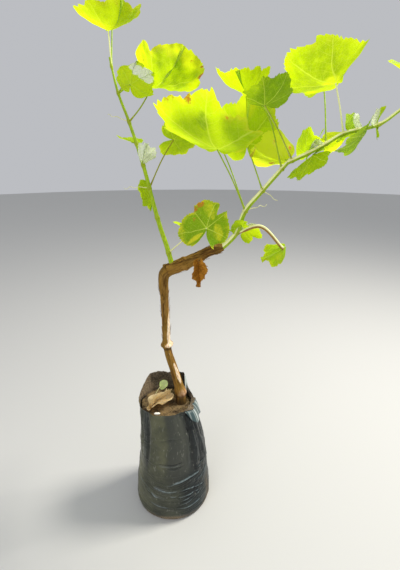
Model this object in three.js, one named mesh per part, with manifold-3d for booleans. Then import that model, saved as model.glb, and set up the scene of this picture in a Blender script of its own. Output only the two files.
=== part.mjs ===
// A grape sapling in a black film bag, in millimetres, +Z up.
// The origin is the middle of the bag's flat underside. +X is the side of the woody arm and
// the long cane, and -Y is the front.

import * as THREE from 'three';
import Module from 'manifold-3d';

const wasm = await Module();
wasm.setup();

// Driving dimensions
const CLEARANCE = 0.3;
const CLEARANCE_SPARE = 1.3;
const BAG_SIDES = 28;
const BAG_WALL = 1.5;
const BAG_FLOOR = 1.6;
const SOIL_LEVEL = 253;
const SOIL_EDGE = 257;
const COLLAR_FOOT = 262;
const TRUNK_FOOT = [22, 8];
const TRUNK_SEAT_RADIUS = 16;
const LEAF_THICKNESS_SHARE = 0.0175;
const LEAF_LEAST_THICKNESS = 0.9;
const STALK_FOOT_RADIUS = 1.7;
const STALK_TIP_RADIUS = 1.3;
const STALK_FLARE = 0.12;
const SHORT_STALK = 30;

const COLOURS = {
  bag: 0x2b302c,
  soil: 0x5d4635,
  bark: 0x8a6238,
  cane: 0x9bb33c,
  leaf: 0x9ed321,
  deep_leaf: 0x4f9a1c,
  yellow_leaf: 0xd9d52a,
  dead_leaf: 0xa4632a,
  dried_leaf: 0xc89a5e,
};

// Small helpers for vectors and angles
const vector = (point) => new THREE.Vector3(...point);
const radians = THREE.MathUtils.degToRad;
const mix = THREE.MathUtils.lerp;
const wave = (turns) => Math.sin(2 * Math.PI * turns);

function direction(heading, rise) {
  const level = Math.cos(radians(rise));
  return new THREE.Vector3(
    level * Math.cos(radians(heading)),
    level * Math.sin(radians(heading)),
    Math.sin(radians(rise)),
  );
}

// The value at x of a line through a few points, each [x, value, value, ...]
function along(points, x, column = 1) {
  let i = 1;
  while (i < points.length - 1 && x > points[i][0]) i += 1;
  const [low, high] = [points[i - 1], points[i]];
  const share = THREE.MathUtils.clamp((x - low[0]) / (high[0] - low[0]), 0, 1);
  return mix(low[column], high[column], share);
}

// A closed mesh from its points and triangles, with its faces pointing out
function closedGeometry(points, triangles) {
  let volume = 0;
  for (const [a, b, c] of triangles) {
    volume += points[a].dot(points[b].clone().cross(points[c]));
  }
  const turned = volume < 0 ? triangles.map(([a, b, c]) => [a, c, b]) : triangles;
  const geometry = new THREE.BufferGeometry();
  geometry.setAttribute(
    'position',
    new THREE.Float32BufferAttribute(points.flatMap((p) => [p.x, p.y, p.z]), 3),
  );
  geometry.setIndex(turned.flat());
  return geometry;
}

// A closed skin over rings of equal count, with a fan over each end
function loft(rings, firstMiddle, lastMiddle) {
  const sides = rings[0].length;
  const points = rings.flat();
  const triangles = [];
  for (let r = 0; r + 1 < rings.length; r += 1) {
    for (let s = 0; s < sides; s += 1) {
      const next = (s + 1) % sides;
      const [a, b] = [r * sides + s, r * sides + next];
      triangles.push([a, b, b + sides], [a, b + sides, a + sides]);
    }
  }
  const last = (rings.length - 1) * sides;
  points.push(firstMiddle, lastMiddle);
  for (let s = 0; s < sides; s += 1) {
    const next = (s + 1) % sides;
    triangles.push([next, s, points.length - 2], [last + s, last + next, points.length - 1]);
  }
  return closedGeometry(points, triangles);
}

// Booleans
function toSolid(geometry) {
  const vertProperties = new Float32Array(geometry.getAttribute('position').array);
  const triVerts = new Uint32Array(geometry.getIndex().array);
  return new wasm.Manifold(new wasm.Mesh({ numProp: 3, vertProperties, triVerts }));
}

function toGeometry(solid) {
  const mesh = solid.getMesh();
  const geometry = new THREE.BufferGeometry();
  geometry.setAttribute('position', new THREE.Float32BufferAttribute(mesh.vertProperties, 3));
  geometry.setIndex(new THREE.Uint32BufferAttribute(mesh.triVerts, 1));
  return geometry;
}

// How finely a limb's curve is followed, and the least step between rings as a share of its length
const CURVE_STEPS = 200;
const LEAST_STEP = 0.004;

// A limb is a tapering round solid along a smooth curve. Its profile gives the radius by share
// of its length, knots are swellings on it, and roughness is how uneven the bark is.
function makeLimb({ path, profile, knots = [], sides, steps, roughness = 0, extra = 0 }) {
  const curve = new THREE.CatmullRomCurve3(path.map(vector), false, 'centripetal');
  const shares = new Set();
  for (let i = 0; i <= steps; i += 1) shares.add(i / steps);
  for (const { at, width } of knots) {
    for (const side of [-1, 0, 1]) shares.add(THREE.MathUtils.clamp(at + side * width, 0, 1));
  }
  const ordered = [...shares].sort((a, b) => a - b);
  const kept = ordered.filter((u, i) => i === 0 || u - ordered[i - 1] > LEAST_STEP);
  const frames = curve.computeFrenetFrames(CURVE_STEPS, false);
  const radiusAt = (u) => {
    const swell = knots.reduce(
      (sum, { at, width, size }) => sum + size * Math.exp(-(((u - at) / width) ** 2) * 1.5),
      0,
    );
    return along(profile, u) + swell + extra;
  };
  const rings = kept.map((u) => {
    const middle = curve.getPointAt(u);
    const frame = Math.round(u * CURVE_STEPS);
    return Array.from({ length: sides }, (_, s) => {
      const turn = s / sides;
      const rough = roughness * (wave(2 * turn + 3.1 * u) + 0.6 * wave(3 * turn - 5.3 * u));
      const reach = radiusAt(u) * (1 + rough);
      return middle
        .clone()
        .addScaledVector(frames.normals[frame], reach * Math.cos(2 * Math.PI * turn))
        .addScaledVector(frames.binormals[frame], reach * Math.sin(2 * Math.PI * turn));
    });
  });
  const geometry = loft(rings, curve.getPointAt(0), curve.getPointAt(1));
  return { curve, radiusAt, solid: toSolid(geometry) };
}

// The same limb a little thicker and longer all over, to cut what meets it
function fatLimb(sizes) {
  const room = CLEARANCE * CLEARANCE_SPARE;
  const path = sizes.path.map(vector);
  const stretch = (end, inner) => end.clone().addScaledVector(end.clone().sub(inner).normalize(), room);
  const last = path.length - 1;
  const ends = [stretch(path[0], path[1]), stretch(path[last], path[last - 1])];
  const longer = [ends[0], ...path.slice(1, -1), ends[1]].map((point) => point.toArray());
  return makeLimb({ ...sizes, path: longer, extra: room }).solid;
}

// Bag: height, radius and sideways shift of the filled film, from the floor to the collar
const BAG_PROFILE = [
  [0, 80, 0],
  [4, 85, 0],
  [14, 87, 0],
  [40, 86, 0],
  [85, 81, 1],
  [130, 76, 2],
  [175, 71.5, 0],
  [215, 65.5, -4],
  [SOIL_EDGE, 57.5, -12.5],
  [COLLAR_FOOT, 57, -13],
];
// Collar: height of its torn edge and how far it leans out there, by turns from +X towards +Y
const COLLAR = [
  [0, 265, 7],
  [0.04, 265, 4],
  [0.08, 284, 1],
  [0.12, 308, 0],
  [0.17, 305, 0],
  [0.24, 297, 1],
  [0.31, 304, 2],
  [0.36, 301, 4],
  [0.42, 284, 4],
  [0.47, 266, 2],
  [0.53, 263, 1],
  [0.6, 266, 0],
  [0.75, 269, 0],
  [0.86, 266, 2],
  [0.93, 264, 14],
  [1, 265, 7],
];

// The film gathers into soft upright folds towards the collar
const GATHERS = 9;
const GATHER_DEPTH = 1.2;
const GATHER_FOOT = 120;

function bagPoint(turn, height, inset = 0) {
  const lean = along(COLLAR, turn, 2);
  const rise = Math.max(0, height - COLLAR_FOOT) / (along(COLLAR, turn) - COLLAR_FOOT);
  const gathered = THREE.MathUtils.smoothstep(height, GATHER_FOOT, COLLAR_FOOT);
  const fold = GATHER_DEPTH * wave(GATHERS * turn) * gathered;
  const radius = along(BAG_PROFILE, height) + lean * rise + fold - inset;
  return new THREE.Vector3(
    along(BAG_PROFILE, height, 2) + radius * Math.cos(2 * Math.PI * turn),
    radius * Math.sin(2 * Math.PI * turn),
    height,
  );
}

const turns = Array.from({ length: BAG_SIDES }, (_, s) => s / BAG_SIDES);
const bagHeights = BAG_PROFILE.map(([height]) => height);

function makeBag() {
  const collarRing = (inset) => turns.map((turn) => bagPoint(turn, along(COLLAR, turn), inset));
  const outside = bagHeights.map((height) => turns.map((turn) => bagPoint(turn, height)));
  const innerHeights = [BAG_FLOOR, ...bagHeights.slice(2)];
  const inside = innerHeights.map((height) =>
    turns.map((turn) => bagPoint(turn, height, BAG_WALL)),
  );
  const rings = [...outside, collarRing(0), collarRing(BAG_WALL), ...inside.reverse()];
  return loft(rings, vector([0, 0, 0]), vector([0, 0, BAG_FLOOR]));
}

// Soil: fills the bag to just under the collar, with a flat seat round the trunk's foot
const MOUND_PLACE = 0.6;
const MOUND_HEIGHT = 1.5;

function makeSoil() {
  const inset = BAG_WALL + CLEARANCE;
  const floor = BAG_FLOOR + CLEARANCE;
  const foot = turns.map((turn) => bagPoint(turn, floor, inset + CLEARANCE));
  const sides = bagHeights.slice(2, -1).map((height) =>
    turns.map((turn) => bagPoint(turn, height, inset)),
  );
  const seat = turns.map(
    (turn) =>
      new THREE.Vector3(
        TRUNK_FOOT[0] + TRUNK_SEAT_RADIUS * Math.cos(2 * Math.PI * turn),
        TRUNK_FOOT[1] + TRUNK_SEAT_RADIUS * Math.sin(2 * Math.PI * turn),
        SOIL_LEVEL,
      ),
  );
  const surface = seat.map((point, s) => {
    const uneven = point.clone().lerp(sides[sides.length - 1][s], MOUND_PLACE);
    uneven.z = SOIL_LEVEL + MOUND_HEIGHT + wave(2 * turns[s] + 0.1) + 0.7 * wave(5 * turns[s]);
    return uneven;
  });
  const rings = [seat, surface, ...sides.reverse(), foot];
  return loft(rings, vector([...TRUNK_FOOT, SOIL_LEVEL]), vector([0, 0, floor]));
}

// Trunk: root flare, callus, lean to the left, knot and straight run up to the elbow
const TRUNK = {
  path: [
    [22.5, 8, SOIL_LEVEL - 8],
    [20, 8, 284],
    [10, 8, 331],
    [-1, 8, 372],
    [-5, 8, 399],
    [-6, 8, 455],
    [-7, 8, 510],
    [-8, 8, 540],
    [-5, 7.5, 557],
    [4, 6, 567],
  ],
  profile: [
    [0, 14],
    [0.06, 11],
    [0.13, 10.6],
    [0.2, 9.2],
    [0.45, 8],
    [0.8, 8.4],
    [0.93, 10.5],
    [1, 12.5],
  ],
  knots: [
    { at: 0.12, width: 0.03, size: 1.2 },
    { at: 0.48, width: 0.022, size: 5 },
  ],
  sides: 12,
  steps: 20,
  roughness: 0.035,
};

// The pruned stub that stands up from the elbow
const STUB = {
  path: [
    [-1, 7, 560],
    [-3, 7, 577],
  ],
  profile: [
    [0, 7],
    [1, 5],
  ],
  sides: 8,
  steps: 2,
  roughness: 0.05,
};

// Arm: the thick old wood that turns to the right at the elbow
const ARM = {
  path: [
    [4, 6, 567],
    [14, 4, 571],
    [36, 0, 581],
    [63, -5, 596],
    [86, -10, 609],
    [108, -14, 617],
  ],
  profile: [
    [0, 12.5],
    [0.2, 12.5],
    [0.45, 11],
    [0.7, 9.5],
    [0.95, 8.5],
    [1, 6.5],
  ],
  knots: [
    { at: 0.32, width: 0.05, size: 1.5 },
    { at: 0.86, width: 0.05, size: 1.5 },
  ],
  sides: 12,
  steps: 14,
  roughness: 0.05,
};

// Canes: this year's green shoots. Their nodes are swollen, and a leaf stands at each.
const nodesAt = (places, size) => places.map((at) => ({ at, width: 0.012, size }));
const LEFT_NODES = [0.083, 0.27, 0.418, 0.528, 0.629, 0.727, 0.854, 0.964];
const RIGHT_NODES = [0.221, 0.444, 0.685, 0.93];
const END_NODES = [0.03, 0.135, 0.254, 0.365, 0.44, 0.566, 0.7, 0.82, 0.92];

const LEFT_CANE = {
  path: [
    [12, 5, 571],
    [0, 8, 617],
    [-9, 10, 645],
    [-20, 12, 687],
    [-37, 14, 761],
    [-58, 16, 832],
    [-74, 17, 878],
    [-82, 18, 917],
    [-84, 18, 930],
  ],
  profile: [
    [0, 5.4],
    [0.06, 4.7],
    [0.5, 3.4],
    [1, 1.6],
  ],
  knots: nodesAt(LEFT_NODES, 1),
  sides: 7,
  steps: 14,
};

const RIGHT_CANE = {
  path: [
    [104, -13, 614],
    [118, -15, 627],
    [132, -18, 645],
    [145, -25, 685],
    [172, -34, 721],
    [208, -48, 767],
  ],
  profile: [
    [0, 5],
    [0.5, 4.2],
    [1, 3.4],
  ],
  knots: nodesAt(RIGHT_NODES, 1.2),
  sides: 7,
  steps: 10,
};

// The long cane turns at its fourth node and runs on to the right and forward
const RIGHT_CANE_END = {
  path: [
    [208, -48, 767],
    [237, -57, 781],
    [262, -64, 795],
    [284, -72, 809],
    [329, -90, 821],
    [352, -100, 840],
    [378, -112, 862],
    [402, -122, 892],
  ],
  profile: [
    [0, 3.6],
    [0.5, 2.7],
    [1, 1.3],
  ],
  knots: nodesAt(END_NODES, 0.9),
  sides: 7,
  steps: 10,
};

// Grape leaf outline, for one half: degrees from the midrib and reach as a share of the midrib.
// Lobes and the gaps between them take turns, from the tip to the notch at the stalk. A small
// leaf has the lobes alone.
const LARGE_HALF = [
  [0, 1],
  [10, 0.88],
  [15, 0.91],
  [27, 0.76],
  [37, 0.87],
  [48, 0.95],
  [60, 0.79],
  [70, 0.84],
  [83, 0.7],
  [95, 0.79],
  [108, 0.8],
  [122, 0.64],
  [140, 0.6],
  [160, 0.4],
];
const SMALL_HALF = [
  [0, 1],
  [24, 0.78],
  [48, 0.95],
  [80, 0.7],
  [108, 0.8],
  [148, 0.5],
];
const LARGE_LEAF = 63;
const NOTCH_REACH = 0.05;
const BASAL_LOBES = 100;
const RIPPLES = 5;
const BLADE_RINGS = [0.5, 1];

// Where a point of the flat leaf lies once the blade is rippled, cupped, folded along its midrib
// and bent over. Distances are shares of the midrib's length.
function bladePoint(angle, reach, edge, shape) {
  const { fold = [12, 12], cup = 0.1, droop = 10, ripple = 0.03 } = shape;
  const flat = { x: reach * Math.sin(angle), y: reach * Math.cos(angle) };
  const lift = ripple * edge * edge * Math.sin(RIPPLES * angle) + cup * reach * reach;
  const bend = radians(flat.x >= 0 ? fold[0] : fold[1]);
  const side = Math.abs(flat.x);
  const x = Math.sign(flat.x) * (side * Math.cos(bend) - lift * Math.sin(bend));
  const z = side * Math.sin(bend) + lift * Math.cos(bend);
  const turn = radians(droop) * flat.y;
  if (Math.abs(turn) < 1e-6) return new THREE.Vector3(x, flat.y, z);
  const radius = 1 / radians(droop);
  return new THREE.Vector3(
    x,
    radius * Math.sin(turn) + z * Math.sin(turn),
    -radius * (1 - Math.cos(turn)) + z * Math.cos(turn),
  );
}

// The reach of a leaf with no lobes at all, at an angle from the midrib
const roundReach = (degrees) => 0.97 - 0.42 * (degrees / 160) ** 2;

// A thin closed blade with its stalk end at the origin, its midrib along +Y and its face up +Z
function makeBlade(length, shape) {
  const { lobing = 1, basal = 1 } = shape;
  const outline = length > LARGE_LEAF ? LARGE_HALF : SMALL_HALF;
  const half = outline.map(([degrees, reach]) => [
    radians(degrees),
    mix(roundReach(degrees), reach, lobing) * (degrees > BASAL_LOBES ? basal : 1),
  ]);
  const edge = [
    ...half.slice(1).reverse().map(([angle, reach]) => [-angle, reach]),
    ...half,
    [Math.PI, NOTCH_REACH],
  ];
  const middle = [bladePoint(0, 0, 0, shape)];
  for (const share of BLADE_RINGS) {
    for (const [angle, reach] of edge) middle.push(bladePoint(angle, reach * share, share, shape));
  }
  const count = edge.length;
  const upper = [];
  for (let i = 0; i < count; i += 1) {
    const next = (i + 1) % count;
    const [a, b] = [1 + i, 1 + next];
    upper.push([0, b, a], [a, b, b + count], [a, b + count, a + count]);
  }
  const sheet = new THREE.BufferGeometry();
  sheet.setAttribute(
    'position',
    new THREE.Float32BufferAttribute(middle.flatMap((p) => [p.x, p.y, p.z]), 3),
  );
  sheet.setIndex(upper.flat());
  sheet.computeVertexNormals();
  const normals = sheet.getAttribute('normal');
  const thickness = Math.max(LEAF_LEAST_THICKNESS, LEAF_THICKNESS_SHARE * length);
  const offset = (side) =>
    middle.map((point, i) => {
      const normal = new THREE.Vector3().fromBufferAttribute(normals, i);
      return point.clone().multiplyScalar(length).addScaledVector(normal, (side * thickness) / 2);
    });
  const points = [...offset(1), ...offset(-1)];
  const lower = upper.map(([a, b, c]) => [a + middle.length, c + middle.length, b + middle.length]);
  const rim = [];
  for (let i = 0; i < count; i += 1) {
    const next = (i + 1) % count;
    const [a, b] = [1 + count + i, 1 + count + next];
    rim.push([a, b, b + middle.length], [a, b + middle.length, a + middle.length]);
  }
  return { points, triangles: [...upper, ...lower, ...rim] };
}

// Turns a blade to its heading, rise and roll, and moves its stalk end to its place
function placeBlade({ points, triangles }, base, heading, rise, roll) {
  const aim = direction(heading, rise);
  const level = new THREE.Vector3(-Math.sin(radians(heading)), Math.cos(radians(heading)), 0);
  const face = aim.clone().cross(level);
  const across = level.clone().multiplyScalar(Math.cos(radians(roll)));
  across.addScaledVector(face, Math.sin(radians(roll)));
  const up = aim.clone().cross(across);
  const placed = points.map((p) =>
    base.clone().addScaledVector(across, -p.x).addScaledVector(aim, p.y).addScaledVector(up, p.z),
  );
  return closedGeometry(placed, triangles);
}

// A stalk from a point on a limb's middle line to the blade, arched up by a share of its length
function makeStalk(foot, tip, arch, footRadius, tipRadius) {
  const span = tip.clone().sub(foot);
  const crown = foot.clone().addScaledVector(span, 0.5);
  crown.z += arch * span.length();
  return makeLimb({
    path: [foot.toArray(), crown.toArray(), tip.toArray()],
    profile: [
      [0, footRadius],
      [STALK_FLARE, mix(footRadius, tipRadius, 0.6)],
      [1, tipRadius],
    ],
    sides: 5,
    steps: span.length() > SHORT_STALK ? 4 : 2,
  }).solid;
}

// Leaves: the limb and the node on it, the stalk as length, heading, rise and arch, and the blade
// as midrib length, heading, rise and roll. Headings run from +X towards +Y in degrees. fold is how
// far each half stands up from the midrib, and droop how far the blade bends over to its tip.
const LEAVES = {
  leaf_left_1: { on: ['left', 0], stalk: [96, -24, 34, 0.06], blade: [63, -16, 78, -55] },
  leaf_left_2: { on: ['left', 2], stalk: [105, 47, 53, 0.05], blade: [50, 25, -5, -73] },
  leaf_left_3: { on: ['left', 3], stalk: [18, -87, 24, 0], blade: [37, -70, 36, -14] },
  leaf_left_4: { on: ['left', 4], stalk: [14, 135, 10, 0], blade: [30, 150, 15, 0] },
  leaf_left_5: { on: ['left', 5], stalk: [68, -20, 47, -0.05], blade: [99, -53, 0, -12] },
  leaf_left_6: { on: ['left', 6], stalk: [54, -57, 6, 0.1], blade: [46, -61, 63, -33] },
  leaf_left_7: { on: ['left', 7], stalk: [50, 180, 89, 0], blade: [72, -51, -11, 7] },
  leaf_left_8: { on: ['left', 1], stalk: [63, 115, 54, 0.05], blade: [45, -8, -72, 172] },
  leaf_left_9: { on: ['left', 6], stalk: [101, 29, 29, 0.05], blade: [60, 70, 5, 0] },
  leaf_left_tip: { on: ['left', 7], stalk: [88, 95, 56, 0], blade: [34, 84, 30, 0] },
  leaf_right_1: { on: ['right', 0], stalk: [88, -16, -15, 0.25], blade: [50, -137, -16, 111] },
  leaf_right_2: { on: ['right', 0], stalk: [12, 11, 34, 0], blade: [43, -18, 44, -40] },
  leaf_right_3: { on: ['right', 1], stalk: [120, -146, 58, 0.04], blade: [114, -116, 17, -20] },
  leaf_right_4: { on: ['right', 2], stalk: [83, 146, 66, 0], blade: [85, -100, 70, 0] },
  leaf_right_5: { on: ['end', 0], stalk: [104, -143, 47, 0.03], blade: [54, -45, 20, -8] },
  leaf_right_6: { on: ['end', 0], stalk: [16, 121, 2, 0], blade: [65, -149, -5, 42] },
  leaf_right_7: { on: ['right', 3], stalk: [125, -176, 60, 0.24], blade: [60, -113, 11, 0] },
  leaf_right_8: { on: ['right', 0], stalk: [98, 133, -1, 0.05], blade: [60, 125, -11, 1] },
  leaf_right_9: { on: ['right', 1], stalk: [160, 127, 56, 0.05], blade: [70, 119, 13, 0] },
  leaf_end_1: { on: ['end', 1], stalk: [21, 78, -7, 0], blade: [45, -87, 36, -1] },
  leaf_end_2: { on: ['end', 2], stalk: [27, 131, -38, 0], blade: [55, 160, -35, 146] },
  leaf_end_3: { on: ['end', 3], stalk: [73, -146, 64, 0.03], blade: [86, -163, -4, 19] },
  leaf_end_4: { on: ['end', 3], stalk: [15, 66, 1, 0], blade: [46, -150, -17, 104] },
  leaf_end_5: { on: ['end', 4], stalk: [14, 15, -15, 0], blade: [52, -156, -53, 62] },
  leaf_end_6: { on: ['end', 4], stalk: [8, 124, -5, 0], blade: [33, 36, 9, -75] },
  leaf_end_7: { on: ['end', 5], stalk: [12, 75, -27, 0], blade: [35, 98, 64, -146] },
  leaf_end_8: { on: ['end', 2], stalk: [134, 90, 59, 0.12], blade: [66, 104, 6, 0] },
  leaf_end_9: { on: ['end', 6], stalk: [55, -80, 45, 0.05], blade: [66, -109, -10, 0] },
  leaf_end_10: { on: ['end', 7], stalk: [80, 54, 28, 0.05], blade: [58, 60, -5, 0] },
  leaf_end_11: { on: ['end', 8], stalk: [36, 0, 25, 0], blade: [46, 5, -20, 0] },
  leaf_end_tip: { on: ['end', 8], stalk: [24, 80, 75, 0], blade: [26, 90, 60, 0] },
  dead_leaf: { on: ['arm', 0], stalk: [21, -75, -35, 0], blade: [41, -95, -82, 0] },
};
const SHAPES = {
  leaf_left_1: { fold: [3, 13], cup: -0.05, droop: 35, tint: 'deep_leaf' },
  leaf_left_2: { fold: [25, 25], droop: 18 },
  leaf_left_3: { fold: [58, 25], cup: 0.23, droop: -39 },
  leaf_left_5: { fold: [60, 12], cup: 0.06, droop: -60, lobing: 0.5, tint: 'yellow_leaf' },
  leaf_left_6: { fold: [24, -2], cup: 0.28, droop: -57 },
  leaf_left_7: { fold: [15, 11], cup: 0.29, droop: -42, lobing: 0.8 },
  leaf_left_8: { fold: [38, 15], cup: 0.25, droop: -12 },
  leaf_right_1: { fold: [31, 64], cup: 0.16, droop: -55 },
  leaf_right_2: { fold: [-5, -6], cup: -0.05, droop: 60 },
  leaf_right_3: { fold: [-6, 15], cup: 0.01, droop: -57, basal: 0.45 },
  leaf_right_4: { fold: [30, 30], cup: 0.2, droop: -10 },
  leaf_right_5: { fold: [13, 11], cup: 0, droop: -60, basal: 0.7, tint: 'deep_leaf' },
  leaf_right_6: { fold: [15, 56], cup: 0.29, droop: -35, tint: 'yellow_leaf' },
  leaf_right_7: { fold: [13, 23], cup: 0.3, droop: -1 },
  leaf_end_1: { fold: [59, 41], cup: 0.3, droop: 50 },
  leaf_end_2: { fold: [-3, 32], cup: 0.05, droop: -14 },
  leaf_end_3: { fold: [14, 23], cup: -0.02, droop: -60 },
  leaf_end_4: { fold: [42, 60], cup: 0.28, droop: -41, tint: 'yellow_leaf' },
  leaf_end_5: { fold: [10, -25], cup: 0.18, droop: -41, basal: 0.55 },
  leaf_end_6: { fold: [20, 35], cup: 0.16, droop: 13 },
  leaf_end_7: { fold: [-6, 29], cup: -0.03, droop: 58, basal: 0.6 },
  dead_leaf: { fold: [66, 52], cup: 0.1, droop: -30, lobing: 0.6, tint: 'dead_leaf' },
};

// What lies and stands on the soil: a fallen dry leaf, and a low young leaf on a thin stem
const FALLEN_LEAF = {
  base: [-45, -14, 256.5],
  blade: [57, 43, 8, 43],
  shape: { fold: [59, 58], cup: 0.3, droop: 32, ripple: 0.08, lobing: 0.7, basal: 0.5 },
};
const LOW_LEAF = {
  foot: [-42, 31, 248],
  base: [-25, 24, 282],
  blade: [24, -30, 44, 50],
  shape: { fold: [8, 26], cup: 0.03, droop: 30, lobing: 0, basal: 0.4 },
  footRadius: 1.5,
  tipRadius: 1,
};

// A cut can leave a scrap beside the piece itself
function withoutScraps(solid) {
  const pieces = solid.decompose();
  return pieces.reduce((best, piece) => (piece.volume() > best.volume() ? piece : best));
}

// The canes and the oldest wood, ready for what stands on them
const limbs = {
  trunk: TRUNK,
  arm: ARM,
  left: LEFT_CANE,
  right: RIGHT_CANE,
  end: RIGHT_CANE_END,
};
const made = Object.fromEntries(Object.entries(limbs).map(([name, l]) => [name, makeLimb(l)]));
const fat = Object.fromEntries(Object.entries(limbs).map(([name, l]) => [name, fatLimb(l)]));
fat.trunk = fat.trunk.add(fatLimb(STUB));
const places = { arm: [0.52], left: LEFT_NODES, right: RIGHT_NODES, end: END_NODES };

function makeLeaf({ on, stalk, blade, tint, ...shape }) {
  const [limb, node] = on;
  const foot = made[limb].curve.getPointAt(places[limb][node]);
  const [stalkLength, stalkHeading, stalkRise, arch] = stalk;
  const base = foot.clone().addScaledVector(direction(stalkHeading, stalkRise), stalkLength);
  const [length, heading, rise, roll] = blade;
  const sheet = placeBlade(makeBlade(length, shape), base, heading, rise, roll);
  const holder = makeStalk(foot, base, arch, STALK_FOOT_RADIUS, STALK_TIP_RADIUS);
  return withoutScraps(toSolid(sheet).add(holder).subtract(fat[limb]));
}

const soil = makeSoil();
const raisedSoil = toSolid(soil).translate([0, 0, CLEARANCE]);
const onSoil = (solid) => withoutScraps(solid.subtract(raisedSoil));

function makeFallenLeaf({ base, blade, shape }) {
  const [length, heading, rise, roll] = blade;
  return toSolid(placeBlade(makeBlade(length, shape), vector(base), heading, rise, roll));
}

function makeLowLeaf({ foot, base, footRadius, tipRadius, ...leaf }) {
  const stem = makeStalk(vector(foot), vector(base), 0.05, footRadius, tipRadius);
  return makeFallenLeaf({ base, ...leaf }).add(stem);
}

// A limb stands clear of the limbs that carry it
function clearLimb(limb, ...carriers) {
  const solid = carriers.reduce((left, carrier) => left.subtract(fat[carrier]), made[limb].solid);
  return withoutScraps(solid);
}

const trunk = made.trunk.solid
  .trimByPlane([0, 0, 1], SOIL_LEVEL + CLEARANCE)
  .add(makeLimb(STUB).solid);

// The whole plant
const plant = new THREE.Group();

function addPart(name, geometry, tint, roughness) {
  const material = new THREE.MeshStandardMaterial({
    color: COLOURS[tint],
    roughness,
    metalness: 0,
    flatShading: true,
  });
  const mesh = new THREE.Mesh(geometry, material);
  mesh.name = name;
  plant.add(mesh);
}

addPart('bag', makeBag(), 'bag', 0.4);
addPart('soil', soil, 'soil', 0.95);
addPart('fallen_leaf', toGeometry(onSoil(makeFallenLeaf(FALLEN_LEAF))), 'dried_leaf', 0.8);
addPart('low_leaf', toGeometry(onSoil(makeLowLeaf(LOW_LEAF))), 'leaf', 0.5);
addPart('trunk', toGeometry(trunk), 'bark', 0.9);
addPart('arm', toGeometry(clearLimb('arm', 'trunk')), 'bark', 0.9);
addPart('left_cane', toGeometry(clearLimb('left', 'arm', 'trunk')), 'cane', 0.5);
addPart('right_cane', toGeometry(clearLimb('right', 'arm')), 'cane', 0.5);
addPart('right_cane_end', toGeometry(clearLimb('end', 'right')), 'cane', 0.5);
for (const [name, place] of Object.entries(LEAVES)) {
  const sizes = { ...place, ...SHAPES[name] };
  addPart(name, toGeometry(makeLeaf(sizes)), sizes.tint ?? 'leaf', 0.5);
}

export default plant;
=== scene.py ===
# %% [markdown]
# # A grape sapling in a film bag
# A young grape vine grows in a black film bag of soil. Its old wood leans, stands up to a swollen
# elbow and turns right as a thick arm. Two green canes carry broad lobed leaves on long stalks.
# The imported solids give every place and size. This script dresses each of them in a finer piece.
# Lengths are written in millimetres, as in the solids, and turned to metres where a mesh is made.

import math

import bpy
import numpy as np
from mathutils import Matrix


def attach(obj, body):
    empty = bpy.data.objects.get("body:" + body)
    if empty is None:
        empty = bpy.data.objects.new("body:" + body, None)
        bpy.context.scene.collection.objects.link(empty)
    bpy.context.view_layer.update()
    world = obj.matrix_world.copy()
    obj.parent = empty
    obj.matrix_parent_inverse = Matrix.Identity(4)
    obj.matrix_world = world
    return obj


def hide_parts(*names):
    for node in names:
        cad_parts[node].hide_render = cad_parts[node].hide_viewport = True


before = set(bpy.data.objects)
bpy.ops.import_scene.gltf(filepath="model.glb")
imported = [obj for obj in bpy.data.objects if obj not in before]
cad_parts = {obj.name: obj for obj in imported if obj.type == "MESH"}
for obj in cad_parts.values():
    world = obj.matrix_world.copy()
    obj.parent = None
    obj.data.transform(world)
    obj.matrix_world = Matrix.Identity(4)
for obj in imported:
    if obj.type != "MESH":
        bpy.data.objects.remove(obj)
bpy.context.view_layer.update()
MM = 0.001
TAU = 2 * math.pi


def add_object(name, data):
    """A new object in the scene."""
    made = bpy.data.objects.new(name, data)
    bpy.context.scene.collection.objects.link(made)
    return made


# %% [markdown]
# ## Camera
# The photo looks down on the bag and level at the top leaves, from close by with a wide lens. Its
# tilt shows in the ellipses of the bag, and its reach in how fast the plant grows towards the top.

# %% Camera
PHOTO_HEIGHT, FOCAL_PIXELS, SENSOR = 570, 360, 36.0
CAMERA_PLACE, CAMERA_TILT, NEAREST = (0.065, -0.668, 0.780), 20, 0.02
camera_data = bpy.data.cameras.new("photo_camera")
camera_data.sensor_width = SENSOR
camera_data.lens = FOCAL_PIXELS * SENSOR / PHOTO_HEIGHT
camera_data.clip_start = NEAREST
camera = add_object("photo_camera", camera_data)
camera.location = CAMERA_PLACE
camera.rotation_euler = (math.radians(90 - CAMERA_TILT), 0, 0)
bpy.context.scene.camera = camera
print("lens in mm:", round(camera_data.lens, 2))

# %% [markdown]
# ## Studio
# A wide pale floor, an even pale sky, one big warm lamp high on the right and behind, and a weaker
# one in front. Light from behind makes thin leaves glow, as the sun does in the photo. The plain
# colour transform keeps the strong yellow greens, which a filmic one would wash out.

# %% Studio
FLOOR_COLOUR, FLOOR_ROUGHNESS, FLOOR_REACH, FLOOR_SIDES = (0.60, 0.60, 0.58, 1), 0.9, 8.0, 48
SKY_COLOUR, SKY_STRENGTH = (0.93, 0.95, 1.0, 1), 0.54
# Place, the point that it faces, power in watts, width and colour
LAMPS = {
    "key_lamp": ((1.35, 0.35, 2.1), (0.1, 0, 0.6), 56, 0.6, (1.0, 0.96, 0.88)),
    "fill_lamp": ((-1.0, -1.9, 1.6), (0.1, 0, 0.5), 17, 1.6, (0.97, 0.98, 1.0)),
}
for name, (place, aim, power, width, colour) in LAMPS.items():
    lamp_data = bpy.data.lights.new(name, "AREA")
    lamp_data.energy, lamp_data.size, lamp_data.color = power, width, colour
    lamp = add_object(name, lamp_data)
    lamp.location = place
    x, y, z = np.array(aim) - np.array(place)
    lamp.rotation_euler = (math.atan2(math.hypot(x, y), -z), 0, math.atan2(-x, y))

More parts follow.
